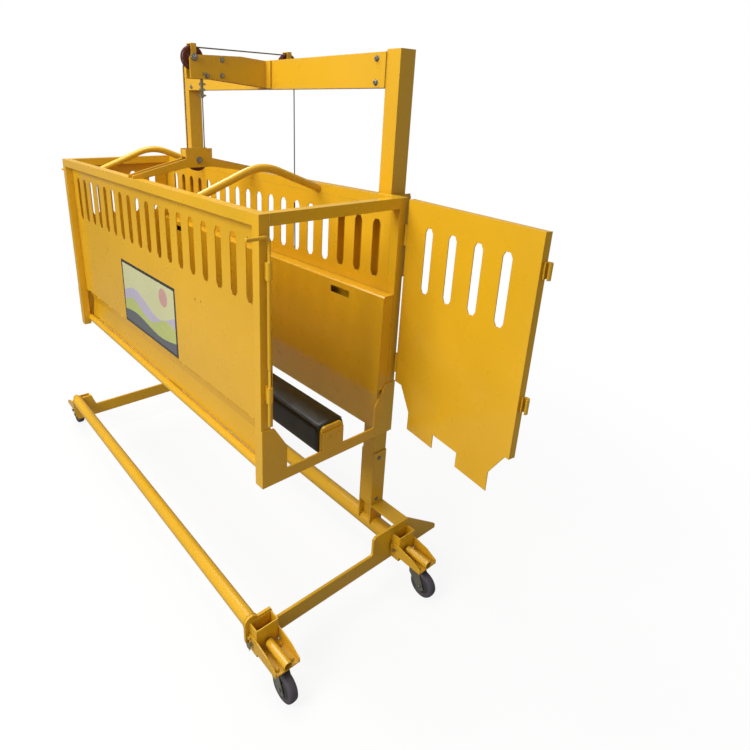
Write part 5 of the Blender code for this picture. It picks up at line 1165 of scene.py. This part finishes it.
class TRIM_OT_stage(LooksOperator, bpy.types.Operator):
    """Lays the pale floor, lights the machine softly and sets the camera"""
    bl_idname = "trim.stage"
    bl_label = "Stage"

    LENS = 26.63
    EYE = (-0.921, -1.406, 2.113)
    YAW = 39.234
    PITCH = 19.767
    ROLL = 1.372
    SHIFT = (0.0805, -0.0925)
    CENTRE = (0.35, 1.0)
    # Name, place, width and share of the lamp power
    LAMPS = (("key_lamp", (-4.2, 0.6, 4.2), 2.6, 1.0), ("top_lamp", (0.2, 2.2, 5.2), 3.0, 0.8),
             ("fill_lamp", (-2.6, -4.4, 2.6), 3.0, 0.13))

    def execute(self, context):
        wish = context.scene.trim_stage
        self.floor(wish)
        self.world(context.scene, wish)
        for name, place, size, share in self.LAMPS:
            self.lamp(name, place, size, wish.lamp_power * share)
        self.camera(context.scene)
        context.scene.view_settings.view_transform = "Standard"
        return {"FINISHED"}

    def floor(self, wish):
        bm = bmesh.new()
        centre = ORIGIN + Vector((*self.CENTRE, -0.0004))
        hub = bm.verts.new(centre)
        ring = [bm.verts.new(centre + Vector((*on_circle(wish.floor_size, i, 96), 0))) for i in range(96)]
        for i in range(96):
            bm.faces.new((hub, ring[i], ring[(i + 1) % 96]))
        mesh = mesh_of("floor", bm)
        made = bpy.data.materials.new("pale floor")
        made.use_nodes = True
        tree = made.node_tree
        tree.nodes.remove(tree.nodes["Principled BSDF"])
        output = tree.nodes["Material Output"]
        diffuse = tree.nodes.new("ShaderNodeBsdfDiffuse")
        white = new_node(tree, "ShaderNodeEmission", {"Color": (1, 1, 1, 1), "Strength": 1.0})
        position = new_node(tree, "ShaderNodeTexCoord").outputs["Object"]
        apart = new_node(tree, "ShaderNodeVectorMath", {1: tuple(centre)}, operation="DISTANCE")
        tree.links.new(position, apart.inputs[0])
        far = ramp(tree, apart.outputs["Value"], 1.6, 3.4, 0.88, 1.0)
        seen = seen_directly(tree)
        shade = mix_colour(tree, seen, (0.30, 0.29, 0.27), (0.93, 0.93, 0.93))
        tree.links.new(shade, diffuse.inputs["Color"])
        mix_shaders(tree, product(tree, far, seen), diffuse, white, output.inputs["Surface"])
        mesh.materials.append(made)
        add_object("floor", mesh)

    def world(self, scene, wish):
        world = bpy.data.worlds.new("Studio")
        world.use_nodes = True
        scene.world = world
        tree = world.node_tree
        ambient = tree.nodes["Background"]
        ambient.inputs["Color"].default_value = (1.0, 0.985, 0.96, 1.0)
        ambient.inputs["Strength"].default_value = wish.ambient
        white = new_node(tree, "ShaderNodeBackground", {"Color": (1, 1, 1, 1), "Strength": 1.0})
        mix_shaders(tree, seen_directly(tree), ambient, white, tree.nodes["World Output"].inputs["Surface"])

    def lamp(self, name, place, size, power):
        data = bpy.data.lights.new(name, "AREA")
        data.size = size
        data.energy = power
        lamp = add_object(name, data)
        lamp.location = ORIGIN + Vector(place)
        aim = ORIGIN + Vector((*self.CENTRE, 1.1)) - lamp.location
        lamp.rotation_euler = aim.to_track_quat("-Z", "Y").to_euler()

    def camera(self, scene):
        yaw, pitch, roll = (math.radians(a) for a in (self.YAW, self.PITCH, self.ROLL))
        ahead = Vector((math.sin(yaw) * math.cos(pitch), math.cos(yaw) * math.cos(pitch), -math.sin(pitch)))
        right = Vector((math.cos(yaw), -math.sin(yaw), 0.0))
        above = right.cross(ahead)
        across = right * math.cos(roll) + above * math.sin(roll)
        upward = above * math.cos(roll) - right * math.sin(roll)
        data = bpy.data.cameras.new("camera")
        data.lens = self.LENS
        data.shift_x, data.shift_y = self.SHIFT
        camera = add_object("camera", data)
        turned = Matrix((across, upward, -ahead)).transposed().to_4x4()
        camera.matrix_world = Matrix.Translation(ORIGIN + Vector(self.EYE)) @ turned
        scene.camera = camera


STEPS = (TRIM_OT_finishes, TRIM_OT_belly_cushion, TRIM_OT_casters, TRIM_OT_sheaves, TRIM_OT_fasteners,
         TRIM_OT_welds, TRIM_OT_split_pins, TRIM_OT_rope_falls, TRIM_OT_rope_fittings, TRIM_OT_winch_grip,
         TRIM_OT_panel_print, TRIM_OT_stage)


class TRIM_PT_looks(bpy.types.Panel):
    """Lists the machine's pieces and their settings"""
    bl_idname = "TRIM_PT_looks"
    bl_label = "Trimming machine"
    bl_space_type = "VIEW_3D"
    bl_region_type = "UI"
    bl_category = "Trimming machine"

    def draw(self, context):
        scene = context.scene
        for group, kind in SETTINGS:
            box = self.layout.box()
            for name in kind.__annotations__:
                box.prop(getattr(scene, group), name)
        for step in STEPS:
            self.layout.operator(step.bl_idname)


SETTINGS = (("trim_paint", PaintSettings), ("trim_cushion", CushionSettings),
            ("trim_fittings", FittingSettings), ("trim_stage", StageSettings))


def register():
    for name, kind in SETTINGS:
        bpy.utils.register_class(kind)
        setattr(bpy.types.Scene, name, PointerProperty(type=kind))
    for step in STEPS:
        bpy.utils.register_class(step)
    bpy.utils.register_class(TRIM_PT_looks)


def unregister():
    bpy.utils.unregister_class(TRIM_PT_looks)
    for step in reversed(STEPS):
        bpy.utils.unregister_class(step)
    for name, kind in reversed(SETTINGS):
        delattr(bpy.types.Scene, name)
        bpy.utils.unregister_class(kind)


def main():
    register()
    for step in STEPS:
        area, name = step.bl_idname.split(".")
        getattr(getattr(bpy.ops, area), name)()


if __name__ == "__main__":
    main()
